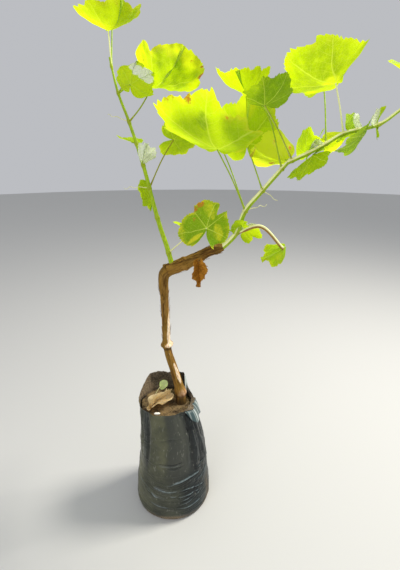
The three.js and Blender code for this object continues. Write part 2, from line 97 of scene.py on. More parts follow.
floor_mesh = bpy.data.meshes.new("floor")
floor_turns = [TAU * i / FLOOR_SIDES for i in range(FLOOR_SIDES)]
floor_rim = [(FLOOR_REACH * math.cos(t), FLOOR_REACH * math.sin(t), 0) for t in floor_turns]
floor_mesh.from_pydata(floor_rim, [], [range(FLOOR_SIDES)])
floor_finish = bpy.data.materials.new("pale_floor")
floor_finish.use_nodes = True
floor_inputs = floor_finish.node_tree.nodes["Principled BSDF"].inputs
floor_inputs["Base Color"].default_value = FLOOR_COLOUR
floor_inputs["Roughness"].default_value = FLOOR_ROUGHNESS
floor_mesh.materials.append(floor_finish)
floor = add_object("floor", floor_mesh)

world = bpy.data.worlds.new("studio_sky")
bpy.context.scene.world = world
world.use_nodes = True
world.node_tree.nodes["Background"].inputs["Color"].default_value = SKY_COLOUR
world.node_tree.nodes["Background"].inputs["Strength"].default_value = SKY_STRENGTH
bpy.context.scene.view_settings.view_transform = "Standard"
print("lamps:", *LAMPS)

# %% [markdown]
# ## Unevenness
# Nothing on a plant is smooth. One seeded noise gives lumps of a chosen size, and is used for bark,
# film, soil and leaves alike. It works on whole arrays of points, so that a dense mesh stays quick.

# %% Noise
# Large whole numbers that scramble a corner's place and the seed
SCRAMBLES = (374761393, 668265263, 1442695041, 974634777)
LAST_SCRAMBLE, ALL_BITS, LOW_BITS = 1274126177, 0xFFFFFFFF, 0xFFFF
# Each further layer is that much weaker and finer
LAYER_STRENGTH, LAYER_FINER = 0.5, 2.03


def lattice(x, y, z, seed):
    """A repeatable value from -1 to 1 for each whole-numbered corner."""
    mixed = sum(number * by for number, by in zip((x, y, z, seed), SCRAMBLES)) & ALL_BITS
    mixed = ((mixed ^ (mixed >> 13)) * LAST_SCRAMBLE) & ALL_BITS
    return ((mixed ^ (mixed >> 16)) & LOW_BITS) / (LOW_BITS / 2) - 1


def ease(value, low, high):
    """0 below low, 1 above high, and a smooth rise between them."""
    share = np.clip((np.asarray(value, float) - low) / (high - low), 0, 1)
    return share * share * (3 - 2 * share)


def bell(gap, power=2):
    """1 where the gap is 0, falling to nothing beyond 1. A higher power gives it a flat top."""
    return np.exp(-(np.abs(gap) ** power))


def uneven(points, size, seed=0, layers=3):
    """Smooth noise at each point, with lumps of that size and finer ones on top of them."""
    points = np.asarray(points, float) / size
    total, strength = np.zeros(points.shape[:-1]), 1.0
    for layer in range(layers):
        cell = np.floor(points).astype(np.int64)
        part = ease(points - cell, 0, 1)
        for corner in range(8):
            step = np.array([corner & 1, corner >> 1 & 1, corner >> 2 & 1])
            weight = np.prod(np.where(step, part, 1 - part), axis=-1)
            total += strength * weight * lattice(*np.moveaxis(cell + step, -1, 0), seed + layer)
        strength *= LAYER_STRENGTH
        points = points * LAYER_FINER
    return total


print("noise at three points:", np.round(uneven([[0, 0, 0], [5, 0, 0], [9, 4, 2]], 6.0), 2))

# %% [markdown]
# ## Skins and pieces
# Every form here is a skin over rings of points: a stem, the bag, the soil and even a leaf, whose
# rings run round the point where its stalk ends. A piece joins one or more skins, keeps extra
# values at each point for its finish to read, rides on the plant and takes the place of its solid.

# %% Skins and pieces
def skin(rings, start=None, end=None, values=None):
    """Points, faces and point values of a band of rings, closed by a middle point where given."""
    rings = np.asarray(rings, float)
    rows, columns = rings.shape[:2]
    points = rings.reshape(-1, 3)
    values = {key: np.reshape(value, (rows * columns, -1)) for key, value in (values or {}).items()}
    row, column = np.meshgrid(np.arange(rows - 1), np.arange(columns), indexing="ij")
    a, b = row * columns + column, row * columns + (column + 1) % columns
    faces = np.stack([a, b, b + columns, a + columns], -1).reshape(-1, 4).tolist()
    for middle, first in ((start, 0), (end, (rows - 1) * columns)):
        if middle is None:
            continue
        tip = len(points)
        points = np.vstack([points, np.asarray(middle, float)])
        for key, value in values.items():
            values[key] = np.vstack([value, value[first : first + columns].mean(0)])
        for c in range(columns):
            pair = [first + (c + 1) % columns, first + c]
            faces.append([*(pair if middle is start else pair[::-1]), tip])
    return points, faces, values


def capped(rings, values=None):
    """A skin whose first and last ring close on their own middles."""
    return skin(rings, np.mean(rings[0], 0), np.mean(rings[-1], 0), values)


def join(skins):
    """Several skins as one."""
    points, faces, values, count = [], [], {}, 0
    for part_points, part_faces, part_values in skins:
        points.append(part_points)
        faces += [[i + count for i in face] for face in part_faces]
        count += len(part_points)
        for key, value in part_values.items():
            values.setdefault(key, []).append(value)
    return np.vstack(points), faces, {key: np.vstack(value) for key, value in values.items()}


def with_values(shape, **given):
    """The same skin with each named value set, to one number all over or to one for each point."""
    points, faces, values = shape
    same = np.zeros((len(points), 1))
    return points, faces, values | {key: same + value for key, value in given.items()}


def add_piece(name, shape, finish, slot, *nodes):
    """A smooth mesh object in metres that rides on the plant and stands for the named solids."""
    points, faces, values = shape
    mesh = bpy.data.meshes.new(name)
    mesh.from_pydata((points * MM).tolist(), [], faces)
    mesh.polygons.foreach_set("use_smooth", [True] * len(mesh.polygons))
    for key, value in values.items():
        kind, part = ("FLOAT_VECTOR", "vector") if value.shape[1] == 3 else ("FLOAT", "value")
        mesh.attributes.new(key, kind, "POINT").data.foreach_set(part, value.ravel())
    mesh.materials.append(finish)
    mesh.update()
    piece = add_object(name, mesh)
    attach(piece, "root")
    if nodes:
        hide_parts(*nodes)
    return piece


def faces_of(*pieces):
    return sum(len(piece.data.polygons) for piece in pieces)


print("skins close into a band of", len(skin(np.zeros((2, 6, 3)))[1]), "faces for 2 rings of 6")

# %% [markdown]
# ## Stems
# A limb or stalk is a round tube along a smooth curve. The curve passes through its named points at
# a pace set by the root of their distance, which never overshoots, and is then measured along its
# length, so that a share of the length means the same place here as in the solids.

# %% Stems
def along(table, x, which=1):
    """The value at x of a line through the rows of a table, whose first column is x."""
    columns = list(zip(*table))
    return np.interp(x, columns[0], columns[which])


class Stem:
    """A smooth curve through a few points, measured along its length."""

    SAMPLES = 48

    def __init__(self, path):
        path = np.array(path, float)
        ends = np.vstack([2 * path[0] - path[1], path, 2 * path[-1] - path[-2]])
        pieces = [path[:1]]
        t = np.linspace(0, 1, self.SAMPLES + 1)[1:, None]
        for p0, p1, p2, p3 in zip(ends, ends[1:], ends[2:], ends[3:]):
            d0, d1, d2 = (np.linalg.norm(b - a) ** 0.5 for a, b in ((p0, p1), (p1, p2), (p2, p3)))
            m1 = ((p1 - p0) / d0 - (p2 - p0) / (d0 + d1) + (p2 - p1) / d1) * d1
            m2 = ((p2 - p1) / d1 - (p3 - p1) / (d1 + d2) + (p3 - p2) / d2) * d1
            rise = 2 * t**3 - 3 * t**2 + 1
            bends = (t**3 - 2 * t**2 + t) * m1 + (t**3 - t**2) * m2
            pieces.append(rise * p1 + (1 - rise) * p2 + bends)
        self.points = np.vstack(pieces)
        steps = np.linalg.norm(np.diff(self.points, axis=0), axis=1)
        self.length = steps.sum()
        self.shares = np.concatenate([[0], np.cumsum(steps)]) / self.length
        ways = np.gradient(self.points, axis=0)
        self.ways = ways / np.linalg.norm(ways, axis=1)[:, None]
        normal = np.cross(self.ways[0], (0, 1, 0.3))
        normals = []
        for way in self.ways:
            normal = normal - way * normal.dot(way)
            normal = normal / np.linalg.norm(normal)
            normals.append(normal)
        self.normals = np.array(normals)

    def at(self, share, table=None):
        """The point at a share of the length, or the row of another table kept for the curve."""
        table = self.points if table is None else table
        return np.stack([np.interp(share, self.shares, table[:, i]) for i in range(3)], -1)

    def frame(self, shares):
        """The middle of the curve and two directions across it."""
        side = self.at(shares, self.normals)
        return self.at(shares), side, np.cross(self.at(shares, self.ways), side)

    def rings(self, shares, sides, reach):
        """Rings round the curve. reach(share, turn) is the radius for arrays of both."""
        shares, turns = np.asarray(shares, float), np.arange(sides) / sides
        middle, side, across = self.frame(shares)
        around = TAU * turns[None, :, None]
        outward = side[:, None] * np.cos(around) + across[:, None] * np.sin(around)
        share_grid, turn_grid = np.meshgrid(shares, turns, indexing="ij")
        radius = reach(share_grid, turn_grid)
        return middle[:, None] + outward * radius[..., None], share_grid, turn_grid, outward

    def tube(self, rows, sides, reach, values=None):
        """A closed tube. values maps a name to a function of the share grid and the turn grid."""
        rings, share, turn, _ = self.rings(np.linspace(0, 1, rows), sides, reach)
        kept = {key: make(share, turn) for key, make in (values or {}).items()}
        return skin(rings, self.at(0), self.at(1), kept)


def swellings(share, knots):
    """How much the knots of a limb add to its radius. A knot is its place, width and size."""
    return sum(size * np.exp(-(((share - at) / width) ** 2) * 1.5) for at, width, size in knots)


quarter = Stem([(10, 0, 0), (7.07, 7.07, 0), (0, 10, 0)])
print("a quarter turn of 10 mm measures", round(quarter.length, 1), "mm")

# %% [markdown]
# ## Finishes
# A finish is a small net of shader nodes. The Wire class stands for one output of a node, and
# arithmetic on it adds Math nodes, so that a mask reads like a formula. All other nodes come from
# one method. What varies over a surface only ever feeds its colour, roughness or bump, or how much
# light a leaf lets through.

# %% Finishes
class Wire:
    """One output of a node."""

    def __init__(self, finish, socket):
        self.finish, self.socket = finish, socket

    def maths(self, operation, *values):
        return self.finish.node("Math", {"operation": operation}, dict(enumerate(values)))

    def call(self, operation, *others):
        """Any Math operation, with this value first."""
        return self.maths(operation, self, *others)

    def __add__(self, other):
        return self.call("ADD", other)

    def __sub__(self, other):
        return self.call("SUBTRACT", other)

    def __rsub__(self, other):
        return self.maths("SUBTRACT", other, self)

    def __mul__(self, other):
        return self.call("MULTIPLY", other)

    __radd__, __rmul__ = __add__, __mul__

    def band(self, low, high):
        """0 below low, 1 above high and smooth between, or the reverse if low is above high."""
        settings = {"interpolation_type": "SMOOTHSTEP"}
        inputs = {"Value": self, "From Min": low, "From Max": high}
        return self.finish.node("MapRange", settings, inputs)


class Finish:
    """A material while it is made."""

    def __init__(self, name):
        self.material = bpy.data.materials.new(name)
        self.material.use_nodes = True
        self.tree = self.material.node_tree
        self.tree.nodes.clear()

    def node(self, kind, settings=None, inputs=None, output=0):
        made = self.tree.nodes.new("ShaderNode" + kind)
        for key, value in (settings or {}).items():
            setattr(made, key, value)
        for key, value in (inputs or {}).items():
            if isinstance(value, Wire):
                self.tree.links.new(value.socket, made.inputs[key])
            else:
                made.inputs[key].default_value = value
        return Wire(self, made.outputs[output])

    def stretched(self, point, stretch):
        return self.node("VectorMath", {"operation": "MULTIPLY"}, {0: point, 1: stretch})

    def place(self, stretch=(1, 1, 1)):
        """The point on the piece in metres, stretched along each axis."""
        return self.stretched(self.node("TexCoord", output="Object"), stretch)

    def values(self, names):
        """The point values with these names, which spaces part."""
        return [self.node("Attribute", {"attribute_name": n}, output="Fac") for n in names.split()]

    def vector(self, name):
        return self.node("Attribute", {"attribute_name": name}, output="Vector")

    def noise(self, point, scale, detail=4.0, roughness=0.55):
        inputs = {"Vector": point, "Scale": scale, "Detail": detail, "Roughness": roughness}
        return self.node("TexNoise", None, inputs, "Fac")

    def mix(self, share, low, high):
        """One colour turned into another by share."""
        return self.node("Mix", {"data_type": "RGBA"}, {0: share, 6: low, 7: high}, 2)

    def bump(self, height, depth, strength=1.0):
        """A normal from a height of 0 to 1, with the real depth in metres."""
        inputs = {"Strength": strength, "Distance": depth, "Height": height}
        return self.node("Bump", None, inputs, "Normal")

    def surface(self, through=None, **sockets):
        """Ends the finish. through gives the share and the colour of the light that it lets by."""
        inputs = {key.replace("_", " "): value for key, value in sockets.items()}
        shown = self.node("BsdfPrincipled", None, inputs, "BSDF")
        if through:
            share, colour = through
            lit = self.node("BsdfTranslucent", None, {"Color": colour}, "BSDF")
            shown = self.node("MixShader", None, {0: share, 1: shown, 2: lit}, "Shader")
        last = self.tree.nodes.new("ShaderNodeOutputMaterial")
        self.tree.links.new(shown.socket, last.inputs["Surface"])
        return self.material


def paint(code):
    """A colour from its six-figure web code, in the linear values that nodes use."""
    parts = [int(code[i : i + 2], 16) / 255 for i in (0, 2, 4)]
    return (*(v / 12.92 if v <= 0.04045 else ((v + 0.055) / 1.055) ** 2.4 for v in parts), 1)


print("mid grey as the nodes read it:", round(paint("808080")[0], 3))

# %% [markdown]
# ## Film
# The bag is thin black polythene. Dust makes it olive in front and grey-brown beside that, it stays
# bluish black on the right, and it is muddy inside the collar and at the foot. Crease ridges are
# paler, partly as stretched film whitens and partly as a painted highlight. Shade is painted into
# its upright folds, crease grooves and the back of the collar, and light is painted onto clean film
# where the sun shines through. The mesh carries each of these as a value from 0 to 1, and noise
# breaks them up.

# %% Film finish
def make_film():
    film = Finish("creased_black_film")
    place = film.place()
    patches, specks = film.noise(place, 22, 5), film.noise(place, 420, 3, 0.7)
    streaks = film.noise(film.place((1, 1, 0.12)), 190, 3)
    dust, olive, grey, dark, crest, clear, ray = film.values("dust olive grey dark crest clear ray")
    bare = film.mix(patches.band(0.35, 0.65), paint("101719"), paint("1f2829"))
    front = film.mix(patches.band(0.3, 0.7), paint("484a36"), paint("636349"))
    colour = film.mix((olive * (0.6 + patches * 0.8)).call("MINIMUM", 1.0), bare, front)
    colour = film.mix(grey * (0.6 + streaks * 0.5), colour, paint("41433a"))
    soiled = film.mix(specks.band(0.35, 0.65), paint("54473a"), paint("8d7d64"))
    cover = (dust * (0.4 + patches * 1.2) * (0.6 + specks * 0.8)).band(0.25, 0.7)
    colour = film.mix(cover, colour, soiled)
    # Painted shade in upright folds, crease grooves and inside the collar
    colour = film.mix(dark * (0.5 + streaks * 0.5), colour, paint("0d100d"))
    scuffs = film.noise(film.place((1, 1, 0.3)), 260, 4).band(0.6, 0.7)
    colour = film.mix(scuffs * 0.3, colour, paint("9a9a8e"))
    # Crease ridges go pale bluish grey: partly whitened film, partly a painted highlight
    white = crest * (0.35 + streaks * 0.9)
    colour = film.mix(white.band(0.25, 1.0) * 0.55, colour, paint("8fa0a4"))
    # Clean film is teal grey, painted pale where light shines through it or glints off it
    colour = film.mix(clear, colour, film.mix(ray, paint("3c5052"), paint("d4dcd8")))
    wrinkles = film.noise(film.place((0.5, 0.5, 2.2)), 80, 6, 0.6)
    normal = film.bump(wrinkles * 0.5 + streaks * 0.3 + specks * 0.2, 0.0014, 0.6)
    rough = 0.3 + cover * 0.45 + patches * 0.16
    return film.surface(Base_Color=colour, Roughness=rough, Normal=normal, Specular_IOR_Level=0.42)


film_finish = make_film()
print("film nodes:", len(film_finish.node_tree.nodes))

# %% [markdown]
# ## The bag
# A straight tube of film holds a column of soil, so it bulges at the foot, narrows where it was
# gathered, and ends in a torn collar with flaps. The profile and collar are those of the solid.
# Creases run round it like slack rings, low down most of all, and soft folds run up to the collar.
# A dense skin with these worked into its points looks truer than bump alone, as it catches light.

# %% The bag's form
SOIL_EDGE, COLLAR_FOOT = 257, 262
# Height, radius, and how far the middle has moved along X
BAG_PROFILE = [
    (0, 80, 0), (4, 85, 0), (14, 87, 0), (40, 86, 0), (85, 81, 1), (130, 76, 2), (175, 71.5, 0),
    (215, 65.5, -4), (SOIL_EDGE, 57.5, -12.5), (COLLAR_FOOT, 57, -13),
]
# Turn from +X towards +Y, height of the torn edge, and how far it leans out there
COLLAR = [
    (0, 265, 7), (0.04, 265, 4), (0.08, 284, 1), (0.12, 308, 0), (0.17, 305, 0), (0.24, 297, 1),
    (0.31, 304, 2), (0.36, 301, 4), (0.42, 284, 4), (0.47, 266, 2), (0.53, 263, 1), (0.6, 266, 0),
    (0.75, 269, 0), (0.86, 266, 2), (0.93, 264, 14), (1, 265, 7),
]
GATHERS, GATHER_DEPTH, GATHER_FOOT = 9, 1.2, 120
BAG_SIDES = 360


def circle(turn):
    """The level direction at each turn from +X towards +Y."""
    return np.stack([np.cos(TAU * turn), np.sin(TAU * turn)], -1)


def wrapped(turn, run, reach, pace):
    """A place for noise that wraps round a tube and is drawn out along its run."""
    return np.concatenate([reach * circle(turn), pace * run[..., None]], -1)


def bag_middle(height):
    """The middle of the bag at each height."""
    return np.stack([along(BAG_PROFILE, height, 2), 0 * height, height], -1)


def bag_ring(turn, height, inset=0.0):
    """Points of the bag at each turn and height, as in the solid."""
    turn, height = np.broadcast_arrays(turn, np.asarray(height, float))
    rise = np.maximum(0, height - COLLAR_FOOT) / (along(COLLAR, turn) - COLLAR_FOOT)
    fold = GATHER_DEPTH * np.sin(TAU * GATHERS * turn) * ease(height, GATHER_FOOT, COLLAR_FOOT)
    radius = along(BAG_PROFILE, height) + along(COLLAR, turn, 2) * rise + fold - inset
    points = bag_middle(height)
    points[..., :2] += radius[..., None] * circle(turn)
    return points


bag_turns = np.arange(BAG_SIDES) / BAG_SIDES
print("bag foot and neck across, in mm:", 2 * BAG_PROFILE[2][1], 2 * BAG_PROFILE[-1][1])

# %% Creases in the film
LOOSE_CREASES, LOW_CREASES, SMILES = 54, 0.72, 26
# The creases seen best: places as turn and height, then depth and width
CREASE_LINES = [
    ([(0.68, 149), (0.73, 150), (0.771, 149), (0.82, 155)], -2.4, 1.5),
    ([(0.73, 142), (0.775, 140), (0.82, 145)], -1.8, 1.3),
    ([(0.745, 101), (0.768, 104), (0.802, 108), (0.839, 112), (0.905, 114)], 3.4, 2.3),
    ([(0.655, 90), (0.727, 84), (0.768, 82), (0.801, 83), (0.846, 82), (0.93, 66)], 2.5, 1.7),
    ([(0.53, 94), (0.558, 86), (0.641, 78), (0.705, 60)], 2.0, 1.8),
    ([(0.735, 74), (0.8, 66), (0.855, 68), (0.905, 60)], 2.3, 1.6),
    ([(0.64, 47), (0.726, 42), (0.809, 36), (0.905, 37)], 2.0, 1.6),
    ([(0.855, 129), (0.9, 124), (0.95, 131)], 2.2, 1.6),
    ([(0.85, 93), (0.92, 95), (0.98, 101)], 2.2, 1.8),
]
# Upright folds: places as height and turn, then depth and width in turns
UPRIGHT_FOLDS = [
    ([(137, 0.552), (200, 0.57), (262, 0.59)], 1.6, 0.006),
    ([(125, 0.568), (184, 0.585), (252, 0.606)], -1.8, 0.007),
    ([(130, 0.622), (174, 0.635), (212, 0.64), (262, 0.648)], -2.6, 0.01),
    ([(140, 0.648), (250, 0.672)], 1.4, 0.008),
    ([(130, 0.84), (180, 0.846), (220, 0.86), (262, 0.885)], 1.4, 0.009),
    ([(122, 0.854), (180, 0.862), (220, 0.877), (262, 0.905)], -3.0, 0.01),
    ([(110, 0.885), (168, 0.885), (210, 0.9), (250, 0.93)], 2.0, 0.008),
    ([(90, 0.912), (150, 0.912), (230, 0.93)], -2.0, 0.007),
    ([(90, 0.932), (150, 0.937), (240, 0.958)], 1.6, 0.008),
]
LOOSE_TURN, LOOSE_SPREAD = 0.94, 0.07
crease_dice = np.random.default_rng(7)
roll = crease_dice.uniform


def between_turns(turn, middle):
    """How far a turn is from another, the short way round."""
    return (turn - middle + 0.5) % 1 - 0.5


def ridge(gap):
    """A ridge with a groove under it, for heights over its middle in widths."""
    return bell(gap) - 0.8 * bell(gap + 1.7)


def one_crease(turn, height, middle, centre, spread, slope, bend, size, width):
    """A crease along a line that slopes and bends across the film."""
    off = between_turns(turn, middle)
    gap = (height - centre - slope * off - bend * off * off * 4) / width
    return np.exp(-((off / spread) ** 2) * 2) * size * ridge(gap)


def drawn_crease(turn, height, places, size, width):
    """A crease through a few places, which fades out at both ends."""
    middle = sum(along(places, turn + step) for step in (-0.01, 0, 0.01)) / 3
    first, last, fade = places[0][0], places[-1][0], 0.03
    ends = ease(turn, first, first + fade) * (1 - ease(turn, last - fade, last))
    return ends * size * ridge((height - middle) / width)


def crease_depth(turn, height):
    """The creases seen best, loose ones from seeded dice, and slack smiles in front low down."""
    depth = sum(drawn_crease(turn, height, *line) for line in CREASE_LINES)
    for _ in range(LOOSE_CREASES):
        low = crease_dice.random() < LOW_CREASES
        centre = roll(6, 118) if low else roll(100, 235)
        line = (roll(0, 1), centre, roll(0.05, 0.2 if low else 0.1), roll(-60, 60), roll(-90, 160))
        depth = depth + one_crease(turn, height, *line, roll(0.4, 1.3), roll(0.9, 2.4))
    for _ in range(SMILES):
        centre, middle, spread = roll(18, 112), roll(0.6, 0.88), roll(0.05, 0.13)
        sag = 220 * float(ease(centre, 20, 70))
        line = (middle, centre, spread, 8 * sag * (middle - 0.74), sag)
        depth = depth + one_crease(turn, height, *line, roll(0.7, 1.9), roll(1.2, 2.4))
    return depth


def fold_depth(turn, height):
    """The folds that gather the film under the collar, and fine wrinkles, most on the right."""
    depth = 0 * turn * height
    for places, size, width in UPRIGHT_FOLDS:
        start = places[0][0]
        run = ease(height, start, start + 40) * (1 - 0.3 * ease(height, 240, COLLAR_FOOT))
        middle = along(places, height) + 0.003 * np.sin(height / 17 + 40 * places[0][1])
        depth = depth + size * run * bell(between_turns(turn, middle) / width)
    loose = bell(between_turns(turn, LOOSE_TURN) / LOOSE_SPREAD, 4) * ease(height, 60, 150)
    fine = uneven(wrapped(turn, height, 60, 0.14), 4.5, 15, 2)
    return depth + (0.35 + 2.2 * loose) * fine * ease(height, 60, 160)


def film_relief(points, turn, height, creases):
    """Lumps of the soil behind the film, creases, and upright folds near the collar."""
    lumps = 1.2 * uneven(points, 34, 3, 2) + 0.35 * uneven(points, 9, 5, 2)
    soft = uneven(points * (1, 1, 0.12), 9, 11, 2) * ease(height, 130, 250)
    return (lumps + creases + soft + fold_depth(turn, height)) * ease(height, 0, 8)


bag_heights = np.concatenate([[0, 1.5, 4, 7, 10], np.linspace(13, COLLAR_FOOT, 210)])
turn_grid, height_grid = np.meshgrid(bag_turns, bag_heights)
outside = bag_ring(turn_grid, height_grid)
creases = crease_depth(turn_grid, height_grid)
relief = film_relief(outside, turn_grid, height_grid, creases)
outside[..., :2] += relief[..., None] * circle(turn_grid)
print("creases stand", round(float(relief.max()), 1), "mm proud at most")

# %% The torn collar
TEAR, TEAR_STEP, TEAR_MOST, CRUMPLE = 1.6, 26, 1.5, 1.8
COLLAR_ROWS, INSIDE_ROWS, FILM = 15, 23, 0.5
tear_line = TEAR * uneven(bag_turns[:, None] * (TEAR_STEP, 0, 0), 1.0, 21, 3)
torn_edge = along(COLLAR, bag_turns) + np.minimum(tear_line, TEAR_MOST)
collar_rings = []
for share in np.linspace(0, 1, COLLAR_ROWS + 1)[1:]:
    ring = bag_ring(bag_turns, COLLAR_FOOT + (torn_edge - COLLAR_FOOT) * share)
    crumple = CRUMPLE * share * uneven(ring * (1, 1, 0.25), 14, 31, 2) + relief[-1] * (1 - share)
    ring[:, :2] += crumple[:, None] * circle(bag_turns)
    collar_rings.append(ring)
outer_rings = np.concatenate([outside, collar_rings])
inner_rings = outer_rings[::-1][:INSIDE_ROWS]
away = inner_rings - bag_middle(inner_rings[..., 2])
inner_rings = inner_rings - away * FILM / np.linalg.norm(away, axis=-1, keepdims=True)
bag_rings = np.concatenate([outer_rings, inner_rings])
print("collar from", round(float(torn_edge.min())), "to", round(float(torn_edge.max())), "mm high")

# %% Where the film is dusty, olive or grey, where shade is painted on, and where it is paler
CLEAR_TURN, DUST_LEAN = 0.088, 0.03
inside = np.concatenate([np.zeros(len(outer_rings)), np.ones(len(inner_rings))])[:, None]
all_turns = np.broadcast_to(bag_turns, bag_rings.shape[:2])
bag_height = bag_rings[..., 2]
# The bands of dust and of painted fold shade lean with the folds
slant = all_turns - DUST_LEAN * np.clip((bag_height - 140) / 110, 0, 1)
edge_gap = along(COLLAR, all_turns) - bag_height


def around(middle, width, power=2, turns=all_turns):
    """1 at a turn and 0 beyond a width in turns on both sides."""
    return bell(between_turns(turns, middle) / width, power)


upper = ease(bag_height, 95, 150)
inner_fold = around(0.348, 0.007) * ease(bag_height, 272, 282)
foot = (1 - ease(bag_height, 4, 26)) * (0.35 + 0.65 * around(0.74, 0.1))
low_right = around(0.955, 0.05) * (1 - ease(bag_height, 60, 110))
crest, groove = np.zeros((2, *bag_rings.shape[:2]))
crest[: len(outside)] = np.clip(creases - 0.35, 0, 2.0) / 2.0
groove[: len(outside)] = np.clip(-creases - 0.3, 0, 1.6) / 1.6
# Painted shade down two upright folds
stripes = 0.75 * around(0.62, 0.012, 2, slant) + 0.9 * around(0.861, 0.011, 2, slant)
film_values = {
    "dust": inside * (0.5 + 0.5 * around(0.44, 0.08, 4)) + 0.8 * foot + 0.4 * low_right,
    "olive": around(0.684, 0.055, 4, slant) * upper
    + 0.5 * around(0.66, 0.14, 4) * (1 - upper)
    + 0.6 * around(0.56, 0.05),
    "grey": (around(0.79, 0.055, 6, slant) + 0.5 * around(0.54, 0.04)) * upper,
    # Painted shade: in upright folds, at the back inside the collar, in a fold of the collar and in
    # crease grooves
    "dark": stripes * upper
    + 0.9 * inside * around(0.135, 0.045, 4)
    + 0.8 * inner_fold
    + 0.6 * groove,
    # Paler crease ridges: whitened film and a painted highlight
    "crest": crest,
    "clear": 0.6 * around(CLEAR_TURN, 0.028, 6) * (1 - ease(edge_gap, 7, 10)),
    # Painted light where the sun shines through the clean film
    "ray": around(CLEAR_TURN, 0.035, 6),
}
film_values = {key: value.clip(0, 1) for key, value in film_values.items()}
bag_skin = skin(bag_rings, (0, 0, 0), None, film_values)
bag = add_piece("bag_film", bag_skin, film_finish, "bag_film", "bag")
print("bag faces:", faces_of(bag))

# %% The flap of film that hangs out on the right
FLARE_START, FLARE_END, FLARE_OUT, FLARE_DOWN, PLEATS = 0.885, 1.03, 19, 26, 2.5
FLARE_ROWS, FLARE_COLUMNS = 70, 22
# How far the flap reaches at shares of its way round
FLARE_REACH = [(0, 0), (0.12, 0.75), (0.3, 1), (0.5, 0.82), (0.72, 0.95), (0.9, 0.5), (1, 0)]
# The pale tongue beside it: middles of its foot and tip, and their half widths
TONGUE = ((35.5, 25.5, 266), 12), ((31, 28.5, 309), 3)
TONGUE_ROWS, TONGUE_COLUMNS, TONGUE_ACROSS = 12, 9, (0.36, 0.42, 0)


def thin_film(tops, drop, ray, clear):
    """A thin sheet of clean film. tops are rows of points, ray is how much painted light makes each
    of them pale.
    """
    rings = [np.concatenate([row, row[::-1] + drop]) for row in tops]
    ray = np.concatenate([ray, ray[:, ::-1]], 1)
    values = {key: 0 * ray for key in ("dust", "olive", "grey", "dark", "crest")}
    return capped(rings, values | {"clear": clear + 0 * ray, "ray": ray})


def make_flare():
    """A torn triangle of film that droops over the right shoulder, with pleats fanning out and
    painted light streaking along them.
    """
    tops, painted_lights = [], []
    out = np.linspace(0, 1, FLARE_COLUMNS)
    for share in np.linspace(0, 1, FLARE_ROWS):
        turn = FLARE_START + (FLARE_END - FLARE_START) * share
        rim = bag_ring(turn, along(COLLAR, turn % 1) - 1.0)
        reach = along(FLARE_REACH, share)
        way = np.array([*circle(turn - 0.02), 0])
        spine = rim + way * (FLARE_OUT * reach * out**0.8 + 0.4)[:, None]
        pleat = 1.5 * math.sin(TAU * PLEATS * share) * out
        spine[:, 2] += -FLARE_DOWN * reach * out**1.7 + pleat
        tops.append(spine)
        # Painted light along the pleats and in fine streaks
        fine = 0.5 + 0.5 * math.sin(61 * share + 2 * math.sin(17 * share))
        painted_pleat_light = 0.75 * max(0, math.cos(TAU * PLEATS * share + 0.8)) ** 8 + 0.5 * fine**6
        painted_lights.append(painted_pleat_light * np.clip(1.25 - 1.2 * abs(out - 0.6), 0, 1))
    return thin_film(tops, (0, 0, -FILM), np.array(painted_lights), 0.95)


def make_tongue():
    """A narrow tongue of film, rolled so that its face turns forwards, painted pale as if light
    shone through it.
    """
    (foot, foot_width), (tip, tip_width) = TONGUE
    share = np.linspace(0, 1, TONGUE_ROWS)[:, None, None]
    middle = np.array(foot) * (1 - share) + np.array(tip) * share
    wide = foot_width * (1 - share) + tip_width * share
    tops = middle + np.linspace(-1, 1, TONGUE_COLUMNS)[:, None] * wide * TONGUE_ACROSS
    return thin_film(tops, (0, FILM, 0), np.full(tops.shape[:2], 0.75), 1)


flare = add_piece("torn_flap", join([make_flare(), make_tongue()]), film_finish, "bag_film")
print("flap faces:", faces_of(flare))

# %% [markdown]
# ## Soil
# Damp brown potting soil, full of crumbs, bits of bark and a few pale grains. The surface is one
# uneven skin, and loose crumbs are scattered on it, each a squashed and dented ball.

# %% Soil finish
def make_soil_finish():
    soil = Finish("potting_soil")
    place = soil.place()
    lumps, grains = soil.noise(place, 60, 6, 0.65), soil.noise(place, 900, 3, 0.7)
    colour = soil.mix(lumps.band(0.32, 0.6), paint("3f301c"), paint("7d6845"))
    colour = soil.mix(grains.band(0.58, 0.75) * 0.6, colour, paint("a88f66"))
    normal = soil.bump(lumps * 0.5 + grains * 0.5, 0.002, 0.9)
    return soil.surface(Base_Color=colour, Roughness=0.95, Normal=normal)


soil_finish = make_soil_finish()
SOIL_LEVEL = 253
TRUNK_FOOT = np.array([22, 8])
SOIL_GAP, WALL_GAP, WALL_HEIGHTS = 4.0, 8.0, (240, 150, 40, 4)


def soil_height(x, y):
    """The soil's surface: level round the trunk, a little higher at the film, and lumpy."""
    near = np.hypot(x - TRUNK_FOOT[0], y - TRUNK_FOOT[1])
    points = np.stack([x, y, 0 * x], -1)
    lumps = 1.2 * ease(near, 12, 26) * uneven(points, 9, 41, 3)
    return SOIL_LEVEL + 3.0 * ease(near, 16, 50) + lumps


def make_soil():
    turns = bag_turns[::3]
    rim = bag_ring(turns, SOIL_EDGE, SOIL_GAP)
    middle = np.array([*TRUNK_FOOT, SOIL_LEVEL], float)
    rings = middle + (rim - middle) * np.linspace(0.06, 1, 44)[:, None, None]
    rings[..., 2] = soil_height(rings[..., 0], rings[..., 1])
    wall = [bag_ring(turns, height, WALL_GAP) for height in WALL_HEIGHTS]
    return skin([*rings, *wall], middle, (0, 0, WALL_HEIGHTS[-1]))


soil_surface = add_piece("soil_surface", make_soil(), soil_finish, "soil", "soil")
print("soil faces:", faces_of(soil_surface))

